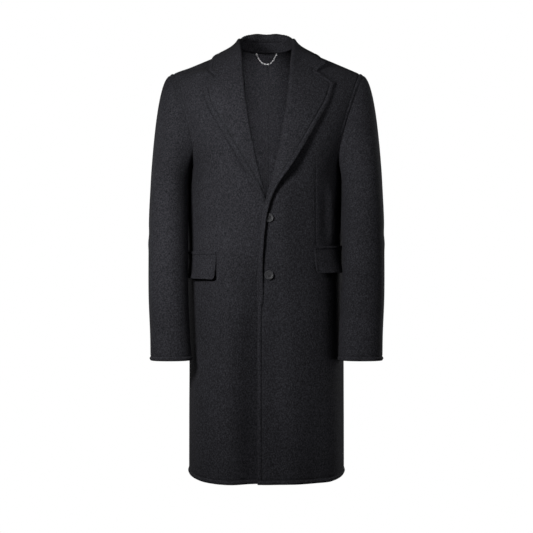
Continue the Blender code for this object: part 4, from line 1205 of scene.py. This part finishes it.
def sleeve_rows(side):
    """Dense rows from the armhole to the cuff; columns round the sleeve from its outside forwards."""
    count = DENSE_AROUND
    loop = armhole_loop(side, count)
    heights = column(SLEEVE, SLEEVE_COLUMNS, "height")
    upper = sleeve_ring(side, heights[0], count)
    below = sleeve_ring(side, heights[0] - SLEEVE_STEP, count)
    turns = np.linspace(0.0, 2.0 * math.pi, count, endpoint=False)
    under = ((1.0 - np.cos(turns)) * 0.5)[:, None]
    forwards = -np.sin(turns)[:, None]
    downwards = -SHOULDER_SLOPE - CAP_DOWN * under
    leave = unit(np.hstack([np.full_like(under, side), CAP_FORWARD * forwards, downwards]))
    start = loop + leave * SLEEVE_GAP
    start[:, 0:1] += side * UNDERARM_GAP * under ** UNDERARM_REACH
    reach = np.linalg.norm(upper - start, axis=1, keepdims=True)
    arrive = unit(below - upper) * reach * CAP_FALL
    inside = unit((loop.mean(axis=0) - loop) * np.array([0.0, 1.0, 1.0]))
    rows = [start - leave * TUCK_IN + inside * TUCK_UNDER]
    leave = leave * reach * CAP_PULL * (1.0 - UNDERARM_EASE * under ** 2)
    for share in np.linspace(0.0, 1.0, DENSE_CAP + 1):
        dip = inside * TUCK_UNDER * bell(share * reach, 0.0, TUCK_REACH)
        rows.append(hermite(start, upper, leave, arrive, share) + dip)
    for height in np.linspace(heights[0], heights[-1], DENSE_ARM + 1)[1:]:
        rows.append(sleeve_ring(side, height, count))
    rows = np.array(rows)
    depth = -rows[..., 2]
    nearer = bell(turns, ARM_IN_TURN, ARM_IN_WIDE) * ease(ARM_IN_FROM, depth) * (1.0 - ease(ARM_IN_TO, depth))
    clear = bell(turns, ARM_CLEAR_TURN, ARM_CLEAR_AROUND) * bell(depth, ARM_CLEAR_DEPTH, ARM_CLEAR_LONG)
    rows[..., 0] += side * (ARM_CLEAR[side] * clear - ARM_IN[side] * nearer)
    return rows


def add_sleeve(side, sewing):
    """Top and under sleeve with stitched cuffs."""
    rows = sleeve_rows(side)
    front_seam = round(FRONT_SEAM_TURN / 360.0 * DENSE_AROUND)
    back_seam = round(BACK_SEAM_TURN / 360.0 * DENSE_AROUND)
    top_columns = [index % DENSE_AROUND for index in range(back_seam, DENSE_AROUND + front_seam + 1)]
    under_columns = list(range(front_seam, back_seam + 1))
    halves = (("sleeve_top_", top_columns, side), ("sleeve_under_", under_columns, -side))
    for kind, chosen, outwards in halves:
        points, _, marks = regrid(rows[:, chosen], SLEEVE_GRID_STEP, high=STITCHED_MARKS)
        from_start, _, _, to_cuff = edge_distances(points)
        relief = band(to_cuff, HEM_PUFF, HEM_GROOVE)
        turn = from_start / from_start[:, -1:]
        shift = flare(to_cuff) + creased(SLEEVE_CREASES[kind], turn, points[..., 2])
        outer, normals = cloth_piece(kind + SIDE_NAMES[side], points, SLEEVE_PROBE, (outwards, 0.0, 0.0),
                                     SLEEVE_ROUNDS, relief, 0.0, shift)
        cuff = marks[LAST_STITCH]
        sewing.run(outer[cuff], normals[cuff])


def lapel_rows(side):
    """Dense rows of a lapel from its lower end up to the gorge seam, round the roll and out to the edge."""
    end = LAPEL_END[side]
    tail = LAPEL_TAIL[side]
    peak_across, peak_height = PEAKS[side]
    gorge = raised(side, GORGE_HEIGHT)
    notch_across, notch_height = NOTCH[0], raised(side, NOTCH[1])
    steps = np.linspace(0.0, 1.0, DENSE_ROLL + 1)
    out_shares = np.linspace(0.0, 1.0, DENSE_LAPEL + 1)[1:]
    notch_shares = np.linspace(TIP_ALONG, 1.0, DENSE_NOTCH)[1:]
    shares = np.append(np.linspace(0.0, TIP_ALONG, DENSE_LAPEL_ROWS), notch_shares)
    if tail < end:
        shares = np.append(np.linspace((tail - end) / (gorge - end), 0.0, DENSE_TAIL)[:-1], shares)
    rows = []
    for share in shares:
        height = mix(end, gorge, share)
        spot, normal, inwards = roll_frame(side, height)
        radius = mix(ROLL_LOW_RADIUS, ROLL_RADIUS, ease((0.0, LAPEL_ROLL_GROWN), share))
        deep = mix(LAPEL_DEEP[side], radius, ease((0.0, LAPEL_DEEP_GROWN), share))
        if share < 0.0:
            radius = mix(LAPEL_TAIL_RADIUS, radius, ease((tail, end), height))
            deep = mix(LAPEL_TAIL_RADIUS, deep, ease((tail, end), height))
        turns = math.pi * steps[:, None]
        roll = spot + inwards * ROLL_GAP + np.sin(turns) * inwards * radius
        roll = roll + (1.0 - np.cos(turns)) * normal * deep
        if share <= TIP_ALONG:
            edge_height = mix(end, peak_height, share / TIP_ALONG) if share > 0.0 else height
            edge_across = lapel_edge_across(side, edge_height)
        else:
            beyond = (share - TIP_ALONG) / (1.0 - TIP_ALONG)
            edge_height = mix(peak_height, notch_height, beyond)
            edge_across = mix(peak_across, notch_across, beyond)
        across = mix(front_edge(height), edge_across, out_shares)
        heights = mix(height, edge_height, out_shares)
        settled = ease(LAPEL_SETTLES, share)
        along = min(1.0, max(0.0, share / TIP_ALONG))
        width = abs(edge_across - front_edge(edge_height))
        spring = LAPEL_SPRING[side] * math.sin(math.pi * along ** LAPEL_SPRING_LOW) ** 2
        spring = spring * ease((0.0, LAPEL_SPRING_WIDE), width)
        edge_lift = mix(LAPEL_LOW_STAND_OFF + LAPEL_LOW_MORE[side], LAPEL_STAND_OFF, settled) + spring
        level = 1.0 - ease((LAPEL_LEVEL, 1.0), share)
        bulge = LAPEL_BULGE * np.sin(math.pi * out_shares) * settled * level
        lift = (mix(2.0 * deep, edge_lift, out_shares) + bulge)[:, None]
        lying = front_point(side, across, heights) + outward(front_point, side, across, heights) * lift
        tilt = LAPEL_TILT * ease(LAPEL_TILT_GROWS, height)
        onwards = math.sin(tilt) * normal - math.cos(tilt) * inwards
        width = mix(TOPSTITCH, width, ease((tail, tail + LAPEL_TAIL_WIDENS), height))
        unrolled = roll[-1] + out_shares[:, None] * (width + LAPEL_LEAST) * onwards
        flat = mix(unrolled, lying, ease(LAPEL_LIES, height))
        rows.append(np.vstack([roll, flat]))
    return np.array(rows)


def line_distance(points, line):
    """Distance of points from a line of points."""
    start = line[:-1]
    run = line[1:] - start
    squared = np.maximum((run ** 2).sum(axis=1), TINY)
    nearest = np.full(points.shape[:-1], np.inf)
    for first, step, size in zip(start, run, squared):
        share = np.clip(((points - first) @ step) / size, 0.0, 1.0)
        nearest = np.minimum(nearest, np.linalg.norm(points - first - share[..., None] * step, axis=-1))
    return nearest


def edge_marks(points, distances):
    """Where each row comes within given distances of the line of its last points."""
    away = line_distance(points, points[:, -1])
    closing = np.maximum.accumulate(away[:, ::-1], axis=1)
    run = arc(points)[:, ::-1]
    return [crossing(closing, wanted, run) for wanted in reversed(distances)]


def turned_piece(name, dense, probe, away, rounds, puff, thickness, step=TURNED_STEP, wrinkles=None):
    """A turned-over piece, lapel or collar, stitched at a true distance from its outer edge all the way.

    Returns the line of its stitches in the middle of the cloth, on its outer face, and the normals there.
    """
    outer_marks = edge_marks(dense, EDGE_MARKS[1:] + STITCH_MARKS)
    places, columns = stations([*EDGE_MARKS, *outer_marks, arc(dense)[:, -1]], TURNED_STEP)
    grid = flipped(resampled(dense, places))
    places, _ = stations(marked(arc(grid)[:, -1], EDGE_MARKS, EDGE_MARKS), step)
    points = flipped(resampled(grid, places))
    relief = band(line_distance(points, points[:, -1]), puff)
    if wrinkles:
        relief = relief + wrinkles(points)
    outer, normals = cloth_piece(name, points, probe, away, rounds, relief, thick=thickness(points))
    stitch = columns[LAST_STITCH]
    return points[:, stitch], outer[:, stitch], normals[:, stitch]


def lapel_thickness(side, points):
    """Thickness of a lapel's cloth, which thins out where the turned edge ends on the front."""
    tail = LAPEL_TAIL[side]
    if tail == LAPEL_END[side]:
        return LAPEL_CLOTH
    return mix(LAPEL_TAIL_CLOTH, LAPEL_CLOTH, ease((tail, tail + LAPEL_TAIL_THINS), points[..., 2]))


def leaf_wrinkles(points):
    """Upright wrinkles on the part of the collar's leaf that faces the neck."""
    from_stand = arc(points)
    along = arc(flipped(points)).T
    uneven = WRINKLE_UNEVEN[0] * np.sin(along / WRINKLE_UNEVEN[1])
    waves = np.sin(2.0 * math.pi * along / WRINKLE_PITCH + uneven)
    waves = waves * (1.0 - ease(WRINKLE_SIDES, np.abs(along - 0.5 * along[-1:])))
    waves = waves * ease((0.0, WRINKLE_STARTS), from_stand)
    return WRINKLE * waves * (1.0 - ease(WRINKLE_ENDS, from_stand))


def add_lapel(side, sewing):
    """A lapel, rolled over and stitched along its edge and notch."""
    line, outer, normals = turned_piece("lapel_" + SIDE_NAMES[side], lapel_rows(side), LAPEL_PROBE, FORWARDS,
                                        LAPEL_ROUNDS, BAND_PUFF, lambda grid: lapel_thickness(side, grid))
    sewn = line[:, 2] > LAPEL_SEWN_FROM
    sewing.run(outer[sewn], normals[sewn])


def collar_section(side, along):
    """Points of the collar at one place along it: the stand, then the leaf over its roll to the edge."""
    seam = neck_seam(side, along)
    _, normal, inwards = roll_frame(side, raised(side, GORGE_HEIGHT))
    radial = unit(seam - np.array([0.0, RIDGE, seam[2]]))
    upwards = unit(radial * collar_size("lean", along) + np.array([0.0, 0.0, 1.0]))
    turning = ease((SHOULDER_ALONG, 1.0), along)
    inner = unit(mix(upwards, inwards, turning))
    outer = mix(radial, normal, turning)
    outer = unit(outer - np.dot(outer, inner) * inner)
    radius = mix(COLLAR_RADIUS, ROLL_RADIUS, turning)
    rise = float(collar_size("rise", along))
    foot = seam + inner * STAND_GAP
    bulge = 1.0 - ease(COLLAR_FORWARD_DIES, along)
    stand_top = STAND_SHARE * rise + STAND_RAISE * bulge
    stand = foot + inner * stand_top * np.linspace(0.0, 1.0, DENSE_STAND)[:, None]
    forward = COLLAR_FORWARD * bulge
    high = rise - stand_top - COLLAR_LOWER * bulge
    leaf = []
    for turn in 0.5 * math.pi * np.linspace(0.0, 1.0, DENSE_STAND)[:-1]:
        leaf.append(stand[-1] - outer * forward * math.sin(turn) + inner * high * (1.0 - math.cos(turn)))
    middle = stand[-1] - outer * (forward - radius) + inner * high
    for turn in math.pi * np.linspace(0.0, 1.0, DENSE_ROLL + 1):
        leaf.append(middle - outer * radius * math.cos(turn) + inner * radius * math.sin(turn))
    shares = np.linspace(0.0, 1.0, DENSE_LAPEL + 1)[1:]
    end = leaf_edge(side, along)
    fall = end - leaf[-1]
    falling = hermite(leaf[-1], end, -inner * np.linalg.norm(fall), fall, shares[:, None])
    lying = gorge_line(side, along, shares)
    spring = COLLAR_TIP_SPRING[side] * bell(along, TIP_ALONG, COLLAR_TIP_WIDE)
    fallen = mix(falling, lying, ease((SHOULDER_ALONG, 1.0), along)) + outer * spring * shares[:, None] ** 2
    return stand, np.vstack([leaf, fallen])


def collar_rows():
    """Dense rows of stand and leaf, from the right gorge round the nape to the left one."""
    stands = []
    leaves = []
    half = np.append(np.linspace(0.0, TIP_ALONG, DENSE_COLLAR), np.linspace(TIP_ALONG, 1.0, DENSE_NOTCH)[1:])
    for side, alongs in ((RIGHT, half[::-1]), (LEFT, half[1:])):
        for along in alongs:
            stand, leaf = collar_section(side, float(along))
            if along <= TIP_ALONG:
                stands.append(stand)
            leaves.append(leaf)
    return np.array(stands), np.array(leaves)


def add_collar(sewing):
    """The collar: its stand inside the neck, and the leaf that turns over it."""
    stand, leaf = collar_rows()
    points, _, _ = regrid(stand, TURNED_STEP)
    cloth_piece("collar_stand", points, STAND_PROBE, BACKWARDS, STAND_ROUNDS)
    _, outer, normals = turned_piece("collar_leaf", leaf, LEAF_PROBE, BACKWARDS, LEAF_ROUNDS, LEAF_PUFF,
                                     lambda grid: CLOTH, LEAF_STEP, leaf_wrinkles)
    sewing.run(outer, normals)


def flap_rows(side, top_at_inner, deep, lifts, corner):
    """Dense rows of a strip on the front from its inner end round towards the side, hanging by its depth."""
    inner = FLAP_INNER if side == RIGHT else FLAP_LEFT_INNER
    widest = half_width(side, top_at_inner)
    power = 2.0 / body_size("square", top_at_inner)
    start = math.asin((inner / widest) ** (1.0 / power))
    turns = np.linspace(start, math.radians(FLAP_OUTER_TURN), DENSE_FLAP + 1)
    first = widest * np.sin(turns) ** power
    depth = form_depth(side, first, np.full_like(first, top_at_inner), FRONT)
    run = np.concatenate([[0.0], np.cumsum(np.hypot(np.diff(first), np.diff(depth)))])
    from_corner = np.clip(corner - np.minimum(run, run[-1] - run), 0.0, corner)
    cut_away = corner - np.sqrt(corner ** 2 - from_corner ** 2)
    points = []
    for share in np.linspace(0.0, 1.0, DENSE_FLAP_ROWS + 1):
        height = top_at_inner + FLAP_SLOPE * run - share * (deep - cut_away)
        across = first * half_width(side, height) / widest
        proud = (lifts[1] - lifts[0]) * share ** 2
        proud = proud + FLAP_FULL[side] * bell(across, FLAP_FULL_ACROSS, FLAP_FULL_WIDE)
        proud = proud * (1.0 - FLAP_TUCK[side] * ease(FLAP_TUCK_FROM, across))
        lift = (lifts[0] + proud + creased(FRONT_CREASES[side], across, height))[:, None]
        points.append(front_point(side, across, height) + outward(front_point, side, across, height) * lift)
    return np.array(points)


def add_pocket(side):
    """A pocket's flap and the narrow welt above it."""
    top = raised(side, FLAP_TOP)
    strips = (
        ("pocket_flap_", top, FLAP_DEEP, FLAP_LIFT, FLAP_CORNER, FLAP_RIM, FLAP_CLOTH),
        ("pocket_welt_", top + WELT_DEEP, WELT_DEEP + WELT_OVER, WELT_LIFT, 0.0, 0.0, WELT_CLOTH),
    )
    for kind, top_at_inner, deep, lifts, corner, rim, thick in strips:
        points, _, _ = regrid(flap_rows(side, top_at_inner, deep, lifts, corner), FLAP_STEP)
        swell = np.ones(points.shape[:2])
        from_inner, to_outer, _, to_bottom = edge_distances(points)
        for distance in (from_inner, to_outer, to_bottom):
            swell = swell * ease((0.0, FLAP_RIM_REACH), distance)
        cloth_piece(kind + SIDE_NAMES[side], points, FLAP_PROBE, FORWARDS, FLAP_ROUNDS, (1.0 - swell) * rim,
                    thick=thick)


def rounded_profile(corners, radius, steps):
    """A profile with its corners rounded off, between a first and last point on the axis."""
    corners = [np.array(corner, dtype=float) for corner in corners]
    profile = [corners[0]]
    for before, corner, after in zip(corners[:-2], corners[1:-1], corners[2:]):
        to_before = before - corner
        to_after = after - corner
        reach = min(radius, CORNER_ROOM * np.linalg.norm(to_before), CORNER_ROOM * np.linalg.norm(to_after))
        start = corner + unit(to_before) * reach
        end = corner + unit(to_after) * reach
        for share in np.linspace(0.0, 1.0, steps):
            rest = 1.0 - share
            profile.append(rest ** 2 * start + 2.0 * share * rest * corner + share ** 2 * end)
    profile.append(corners[-1])
    return profile


def seated(points, spot, normal):
    """Points of a turned body stood on a surface with its axis along the normal."""
    turn = Vector(normal).to_track_quat("Z", "Y").to_matrix()
    return points @ np.array(turn).T + spot


def cut_holes(mesh, name):
    """A button's body with its four holes cut through."""
    body = bpy.data.objects.new(name + "_body", mesh)
    bpy.context.scene.collection.objects.link(body)
    corners = ((0.0, -HOLE_REACH), (HOLE_RADIUS, -HOLE_REACH), (HOLE_RADIUS, HOLE_REACH), (0.0, HOLE_REACH))
    points, faces = lathe(corners, HOLE_SEGMENTS)
    cutters = []
    for turn in 0.5 * math.pi * (np.arange(4) + 0.5):
        moved = points + HOLE_OUT * np.array([math.cos(turn), math.sin(turn), 0.0])
        cutter = bpy.data.objects.new(name + "_hole", mesh_from(name + "_hole", moved, faces))
        bpy.context.scene.collection.objects.link(cutter)
        cut = body.modifiers.new("hole", "BOOLEAN")
        cut.operation = "DIFFERENCE"
        cut.solver = "EXACT"
        cut.object = cutter
        cutters.append(cutter)
    bpy.context.view_layer.update()
    result = bpy.data.meshes.new_from_object(body.evaluated_get(bpy.context.evaluated_depsgraph_get()))
    for item in (*cutters, body):
        bpy.data.objects.remove(item, do_unlink=True)
    return result


def add_button(name, height):
    """A four-hole button with a raised rim, sewn on with two bars of thread."""
    lift = 0.5 * CLOTH + BUTTON_LIFT
    top = lift + BUTTON_THICK
    inside = BUTTON_RADIUS - BUTTON_RIM
    corners = ((0.0, lift), (BUTTON_RADIUS, lift), (BUTTON_RADIUS, top), (inside, top),
               (inside - BUTTON_SLOPE, top - BUTTON_DISH), (0.0, top - BUTTON_DISH))
    points, faces = lathe(rounded_profile(corners, BUTTON_EDGE, BUTTON_EDGE_STEPS), BUTTON_SEGMENTS)
    mesh = cut_holes(mesh_from(name, points, faces), name)
    spot = front_point(LEFT, BUTTON_ACROSS, height)
    normal = outward(front_point, LEFT, BUTTON_ACROSS, height)
    turn = Vector(normal).to_track_quat("Z", "Y").to_matrix().to_4x4()
    mesh.transform(Matrix.Translation(Vector(spot)) @ turn)
    mesh.materials.clear()
    for face in mesh.polygons:
        face.use_smooth = True
    mesh.set_sharp_from_angle(angle=math.radians(SHARP_ANGLE))
    add_piece(name + "_horn", mesh, HORN, "horn", name)
    shape, faces = stitch_shape()
    bars = []
    bar_faces = []
    for across in (-1.0, 1.0):
        for strand in (-0.5, 0.5):
            local = shape * np.array([HOLE_OUT * BAR_REACH, BAR_RADIUS, BAR_RADIUS])
            local[:, 1] += across * HOLE_OUT * math.sqrt(0.5) + strand * BAR_RADIUS
            local[:, 2] += top - BUTTON_DISH + BAR_RADIUS * BAR_LIFT
            bar_faces.append(faces + len(bars) * len(shape))
            bars.append(seated(local, spot, normal))
    thread = mesh_from(name + "_thread", np.vstack(bars), np.vstack(bar_faces))
    add_piece(name + "_thread", thread, THREAD, "wool")


def stud_place(side):
    """Where a stud sits inside the back, and the direction in which it faces."""
    height = height_at(STUD_ACROSS, neck_rise(STUD_ACROSS)) - STUD_BELOW_SEAM + CHAIN_RAISE
    return back_point(side, STUD_ACROSS, height), -outward(back_point, side, STUD_ACROSS, height)


def add_stud(side):
    """A domed stud with a turned foot that holds the end of the chain."""
    lift = 0.5 * CLOTH - STUD_SUNK
    corners = [(share * STUD_RADIUS, lift + up * STUD_THICK) for share, up in STUD]
    points, faces = lathe(rounded_profile(corners, STUD_EDGE, STUD_EDGE_STEPS), STUD_SEGMENTS)
    spot, facing = stud_place(side)
    name = "hanger_stud_" + SIDE_NAMES[side]
    mesh = mesh_from(name, seated(points, spot, facing), faces)
    add_piece(name + "_metal", mesh, METAL, "metal", name)


def link_shape():
    """One link of the chain: a round wire bent to a long ring, lying in its own plane."""
    straight = LINK_LONG - LINK_WIDE
    bend = 0.5 * (LINK_WIDE - LINK_WIRE)
    middles = []
    for end in (1.0, -1.0):
        for turn in math.pi * (np.linspace(0.0, 1.0, LINK_STEPS) - 0.5 * end):
            direction = np.array([math.cos(turn), math.sin(turn), 0.0])
            middles.append((np.array([0.5 * end * straight, 0.0, 0.0]) + bend * direction, direction))
    points = []
    for middle, direction in middles:
        for turn in 2.0 * math.pi * np.arange(LINK_SIDES) / LINK_SIDES:
            wire = direction * math.cos(turn) + np.array([0.0, 0.0, 1.0]) * math.sin(turn)
            points.append(middle + 0.5 * LINK_WIRE * wire)
    index = np.arange(len(points)).reshape(len(middles), LINK_SIDES)
    closed = np.vstack([index, index[:1]])
    closed = np.hstack([closed, closed[:, :1]])
    return np.array(points), quads(closed)[:, ::-1]


def add_chain():
    """The hanger chain: links turned a quarter from one to the next, hanging between the studs."""
    left, _ = stud_place(LEFT)
    lift = 0.5 * CLOTH + FELL_THICK + CHAIN_CLEAR + CHAIN_RADIUS
    line = []
    ups = []
    for share in np.linspace(-1.0, 1.0, CHAIN_SAMPLES):
        side = LEFT if share >= 0 else RIGHT
        across = abs(share) * left[0]
        height = left[2] - CHAIN_DROP * (1.0 - abs(share) ** CHAIN_HANG)
        ups.append(-outward(back_point, side, across, height))
        line.append(back_point(side, across, height) + ups[-1] * lift)
    line = np.array(line)
    ups = np.array(ups)
    lengths = lengths_along(line)
    count = round(lengths[-1] / (LINK_LONG - 2.0 * LINK_WIRE))
    shape, faces = link_shape()
    points = []
    all_faces = []
    for link in range(count):
        middle = (link + 0.5) / count * lengths[-1]
        here, along, flat, up = place_on(line, ups, lengths, middle, LINK_WIRE, 0.0)
        turn = math.radians(LINK_TURN if link % 2 else LINK_TURN - 90.0)
        over = math.cos(turn) * flat + math.sin(turn) * up
        points.append(here + shape @ np.array([along, over, np.cross(along, over)]))
        all_faces.append(faces + link * len(shape))
    mesh = mesh_from("hanger_chain", np.vstack(points), np.vstack(all_faces))
    add_piece("hanger_chain_links", mesh, METAL, "metal", "hanger_chain")


def new_material(name):
    """A material with its node tree and its shader."""
    material = bpy.data.materials.new(name)
    material.use_nodes = True
    return material, material.node_tree, material.node_tree.nodes["Principled BSDF"]


def noise(tree, name, stretch=(1.0, 1.0, 1.0), turn=0.0):
    """One of the noises by places on the object in metres, stretched and turned for streaky patterns."""
    source = tree.nodes.new("ShaderNodeTexCoord")
    mapping = tree.nodes.new("ShaderNodeMapping")
    mapping.inputs["Scale"].default_value = stretch
    mapping.inputs["Rotation"].default_value = (0.0, turn, 0.0)
    tree.links.new(source.outputs["Object"], mapping.inputs["Vector"])
    node = tree.nodes.new("ShaderNodeTexNoise")
    for socket, value in zip(("Scale", "Detail", "Roughness"), NOISES[name]):
        node.inputs[socket].default_value = value
    tree.links.new(mapping.outputs["Vector"], node.inputs["Vector"])
    return node.outputs["Fac"]


def math_node(tree, operation, first, second):
    node = tree.nodes.new("ShaderNodeMath")
    node.operation = operation
    for socket, value in zip(node.inputs, (first, second)):
        if isinstance(value, float):
            socket.default_value = value
        else:
            tree.links.new(value, socket)
    return node.outputs[0]


def ramp(tree, value, stops):
    """Colours along a value."""
    node = tree.nodes.new("ShaderNodeValToRGB")
    elements = node.color_ramp.elements
    while len(elements) < len(stops):
        elements.new(0.5)
    for element, (position, colour) in zip(elements, stops):
        element.position = position
        element.color = (*colour, 1.0)
    tree.links.new(value, node.inputs["Fac"])
    return node.outputs["Color"]


def weighed(tree, *parts):
    """Sum of values, each by its weight."""
    products = [math_node(tree, "MULTIPLY", value, weight) for value, weight in parts]
    total = products[0]
    for product in products[1:]:
        total = math_node(tree, "ADD", total, product)
    return total


def finish_surface(tree, shader, pattern, colours, relief, bump):
    """Give a shader its colours along a pattern, and a bump of given strength and depth from a relief."""
    tree.links.new(ramp(tree, pattern, colours), shader.inputs["Base Color"])
    node = tree.nodes.new("ShaderNodeBump")
    node.inputs["Strength"].default_value = bump[0]
    node.inputs["Distance"].default_value = bump[1]
    tree.links.new(relief, node.inputs["Height"])
    tree.links.new(node.outputs["Normal"], shader.inputs["Normal"])


def roughen(tree, shader, pattern, spread, least):
    """Let a shader's roughness follow a pattern."""
    rough = math_node(tree, "ADD", math_node(tree, "MULTIPLY", pattern, spread), least)
    tree.links.new(rough, shader.inputs["Roughness"])


def wool_material():
    """Felted melange wool: light and dark fibres in small lumps and short streaks under a soft nap."""
    material, tree, shader = new_material("charcoal_melange_wool")
    fibres = noise(tree, "fibres", WOOL_STREAK, WOOL_STREAK_TURN)
    parts = (noise(tree, "lumps"), fibres, noise(tree, "clouds"))
    mixed = weighed(tree, *zip(parts, WOOL_SHARES))
    nap = weighed(tree, *zip((noise(tree, "nap"), fibres), WOOL_NAP_SHARES))
    finish_surface(tree, shader, mixed, WOOL_COLOURS, nap, WOOL_BUMP)
    for socket, value in WOOL_FINISH.items():
        shader.inputs[socket].default_value = value
    return material


def thread_material():
    """Twisted wool-coloured thread."""
    material, tree, shader = new_material("charcoal_thread")
    twist = noise(tree, "twist")
    finish_surface(tree, shader, twist, THREAD_COLOURS, twist, THREAD_BUMP)
    shader.inputs["Roughness"].default_value = THREAD_ROUGH
    return material


def horn_material():
    """Dark horn with faint streaks and a satin polish."""
    material, tree, shader = new_material("dark_horn")
    polish = noise(tree, "polish")
    streaks = noise(tree, "streaks", HORN_STREAK, HORN_STREAK_TURN)
    finish_surface(tree, shader, streaks, HORN_COLOURS, polish, HORN_BUMP)
    roughen(tree, shader, polish, *HORN_ROUGH)
    return material


def metal_material():
    """Bright plated metal with fine wear."""
    material, tree, shader = new_material("silver_plated_metal")
    wear = noise(tree, "wear")
    finish_surface(tree, shader, wear, METAL_COLOURS, wear, METAL_BUMP)
    roughen(tree, shader, wear, *METAL_ROUGH)
    shader.inputs["Metallic"].default_value = METAL_SHARE
    return material


def add_camera():
    """A camera square to the front, at the height of the photograph's middle."""
    camera = bpy.data.cameras.new("camera")
    camera.sensor_width = SENSOR
    camera.lens = CAMERA_FAR / METRES_PER_PIXEL / PHOTO_SIZE * SENSOR
    item = bpy.data.objects.new("camera", camera)
    item.location = (0.0, -CAMERA_FAR, CAMERA_HEIGHT)
    item.rotation_euler = (0.5 * math.pi, 0.0, 0.0)
    bpy.context.scene.collection.objects.link(item)
    bpy.context.scene.camera = item


def add_light(name, spot, aim, width, height, power, spread):
    """A soft box that looks at a point, with a grid that narrows its beam where the spread is small."""
    light = bpy.data.lights.new(name, "AREA")
    light.shape = "RECTANGLE"
    light.size = width
    light.size_y = height
    light.energy = power
    light.spread = math.radians(spread)
    item = bpy.data.objects.new(name, light)
    item.location = spot
    item.rotation_euler = (Vector(aim) - Vector(spot)).to_track_quat("-Z", "Y").to_euler()
    item.visible_camera = False
    bpy.context.scene.collection.objects.link(item)


def keep_off(light_name, piece_names):
    """Leave pieces out of the light of one lamp."""
    group = bpy.data.collections.new(light_name + "_leaves_out")
    bpy.data.objects[light_name].light_linking.receiver_collection = group
    for name in piece_names:
        group.objects.link(bpy.data.objects[name])
    for entry in group.collection_objects:
        entry.light_linking.link_state = "EXCLUDE"


def white_material():
    """Plain white that stays white in every view."""
    material = bpy.data.materials.new("studio_white")
    material.use_nodes = True
    tree = material.node_tree
    tree.nodes.remove(tree.nodes["Principled BSDF"])
    glow = tree.nodes.new("ShaderNodeEmission")
    glow.inputs["Strength"].default_value = 1.0
    tree.links.new(glow.outputs["Emission"], tree.nodes["Material Output"].inputs["Surface"])
    return material


def add_stage():
    """A white floor inside a wide white dome, seen by the camera alone, and soft light."""
    white = white_material()
    bpy.ops.mesh.primitive_plane_add(size=2.0 * STAGE_RADIUS, location=(0.0, 0.0, FLOOR))
    floor = bpy.context.object
    floor.name = "floor"
    bpy.ops.mesh.primitive_uv_sphere_add(segments=STAGE_SEGMENTS, ring_count=STAGE_RINGS, radius=STAGE_RADIUS)
    dome = bpy.context.object
    dome.name = "backdrop"
    for item in (floor, dome):
        item.data.materials.append(white)
        item.visible_diffuse = False
        item.visible_glossy = False
        item.visible_shadow = False
    world = bpy.data.worlds.new("studio")
    world.use_nodes = True
    sky = world.node_tree.nodes["Background"]
    sky.inputs["Color"].default_value = (1.0, 1.0, 1.0, 1.0)
    sky.inputs["Strength"].default_value = WORLD_LIGHT
    bpy.context.scene.world = world
    for light in LIGHTS:
        add_light(*light)
    bpy.context.scene.view_settings.view_transform = "Standard"


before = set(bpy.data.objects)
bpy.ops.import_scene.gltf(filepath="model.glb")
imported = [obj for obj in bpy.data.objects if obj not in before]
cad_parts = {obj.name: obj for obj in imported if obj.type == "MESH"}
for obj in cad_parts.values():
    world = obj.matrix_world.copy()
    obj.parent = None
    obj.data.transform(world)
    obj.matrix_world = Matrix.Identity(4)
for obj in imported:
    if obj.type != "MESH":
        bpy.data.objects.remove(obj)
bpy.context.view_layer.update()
WOOL = wool_material()
THREAD = thread_material()
HORN = horn_material()
METAL = metal_material()
add_camera()
add_stage()
body_sewing = Sewing("stitching_body")
sleeve_sewing = Sewing("stitching_cuffs")
collar_sewing = Sewing("stitching_lapels_and_collar")
for wearer_side in (RIGHT, LEFT):
    add_front(wearer_side, body_sewing)
    add_back(wearer_side, body_sewing)
    add_sleeve(wearer_side, sleeve_sewing)
    add_lapel(wearer_side, collar_sewing)
    add_pocket(wearer_side)
    add_stud(wearer_side)
add_collar(collar_sewing)
for seam in (body_sewing, sleeve_sewing, collar_sewing):
    seam.finish()
for button_name, button_height in BUTTON_HEIGHTS.items():
    add_button(button_name, button_height)
add_chain()
for lamp_name, pieces_left_out in LEFT_OUT.items():
    keep_off(lamp_name, pieces_left_out)
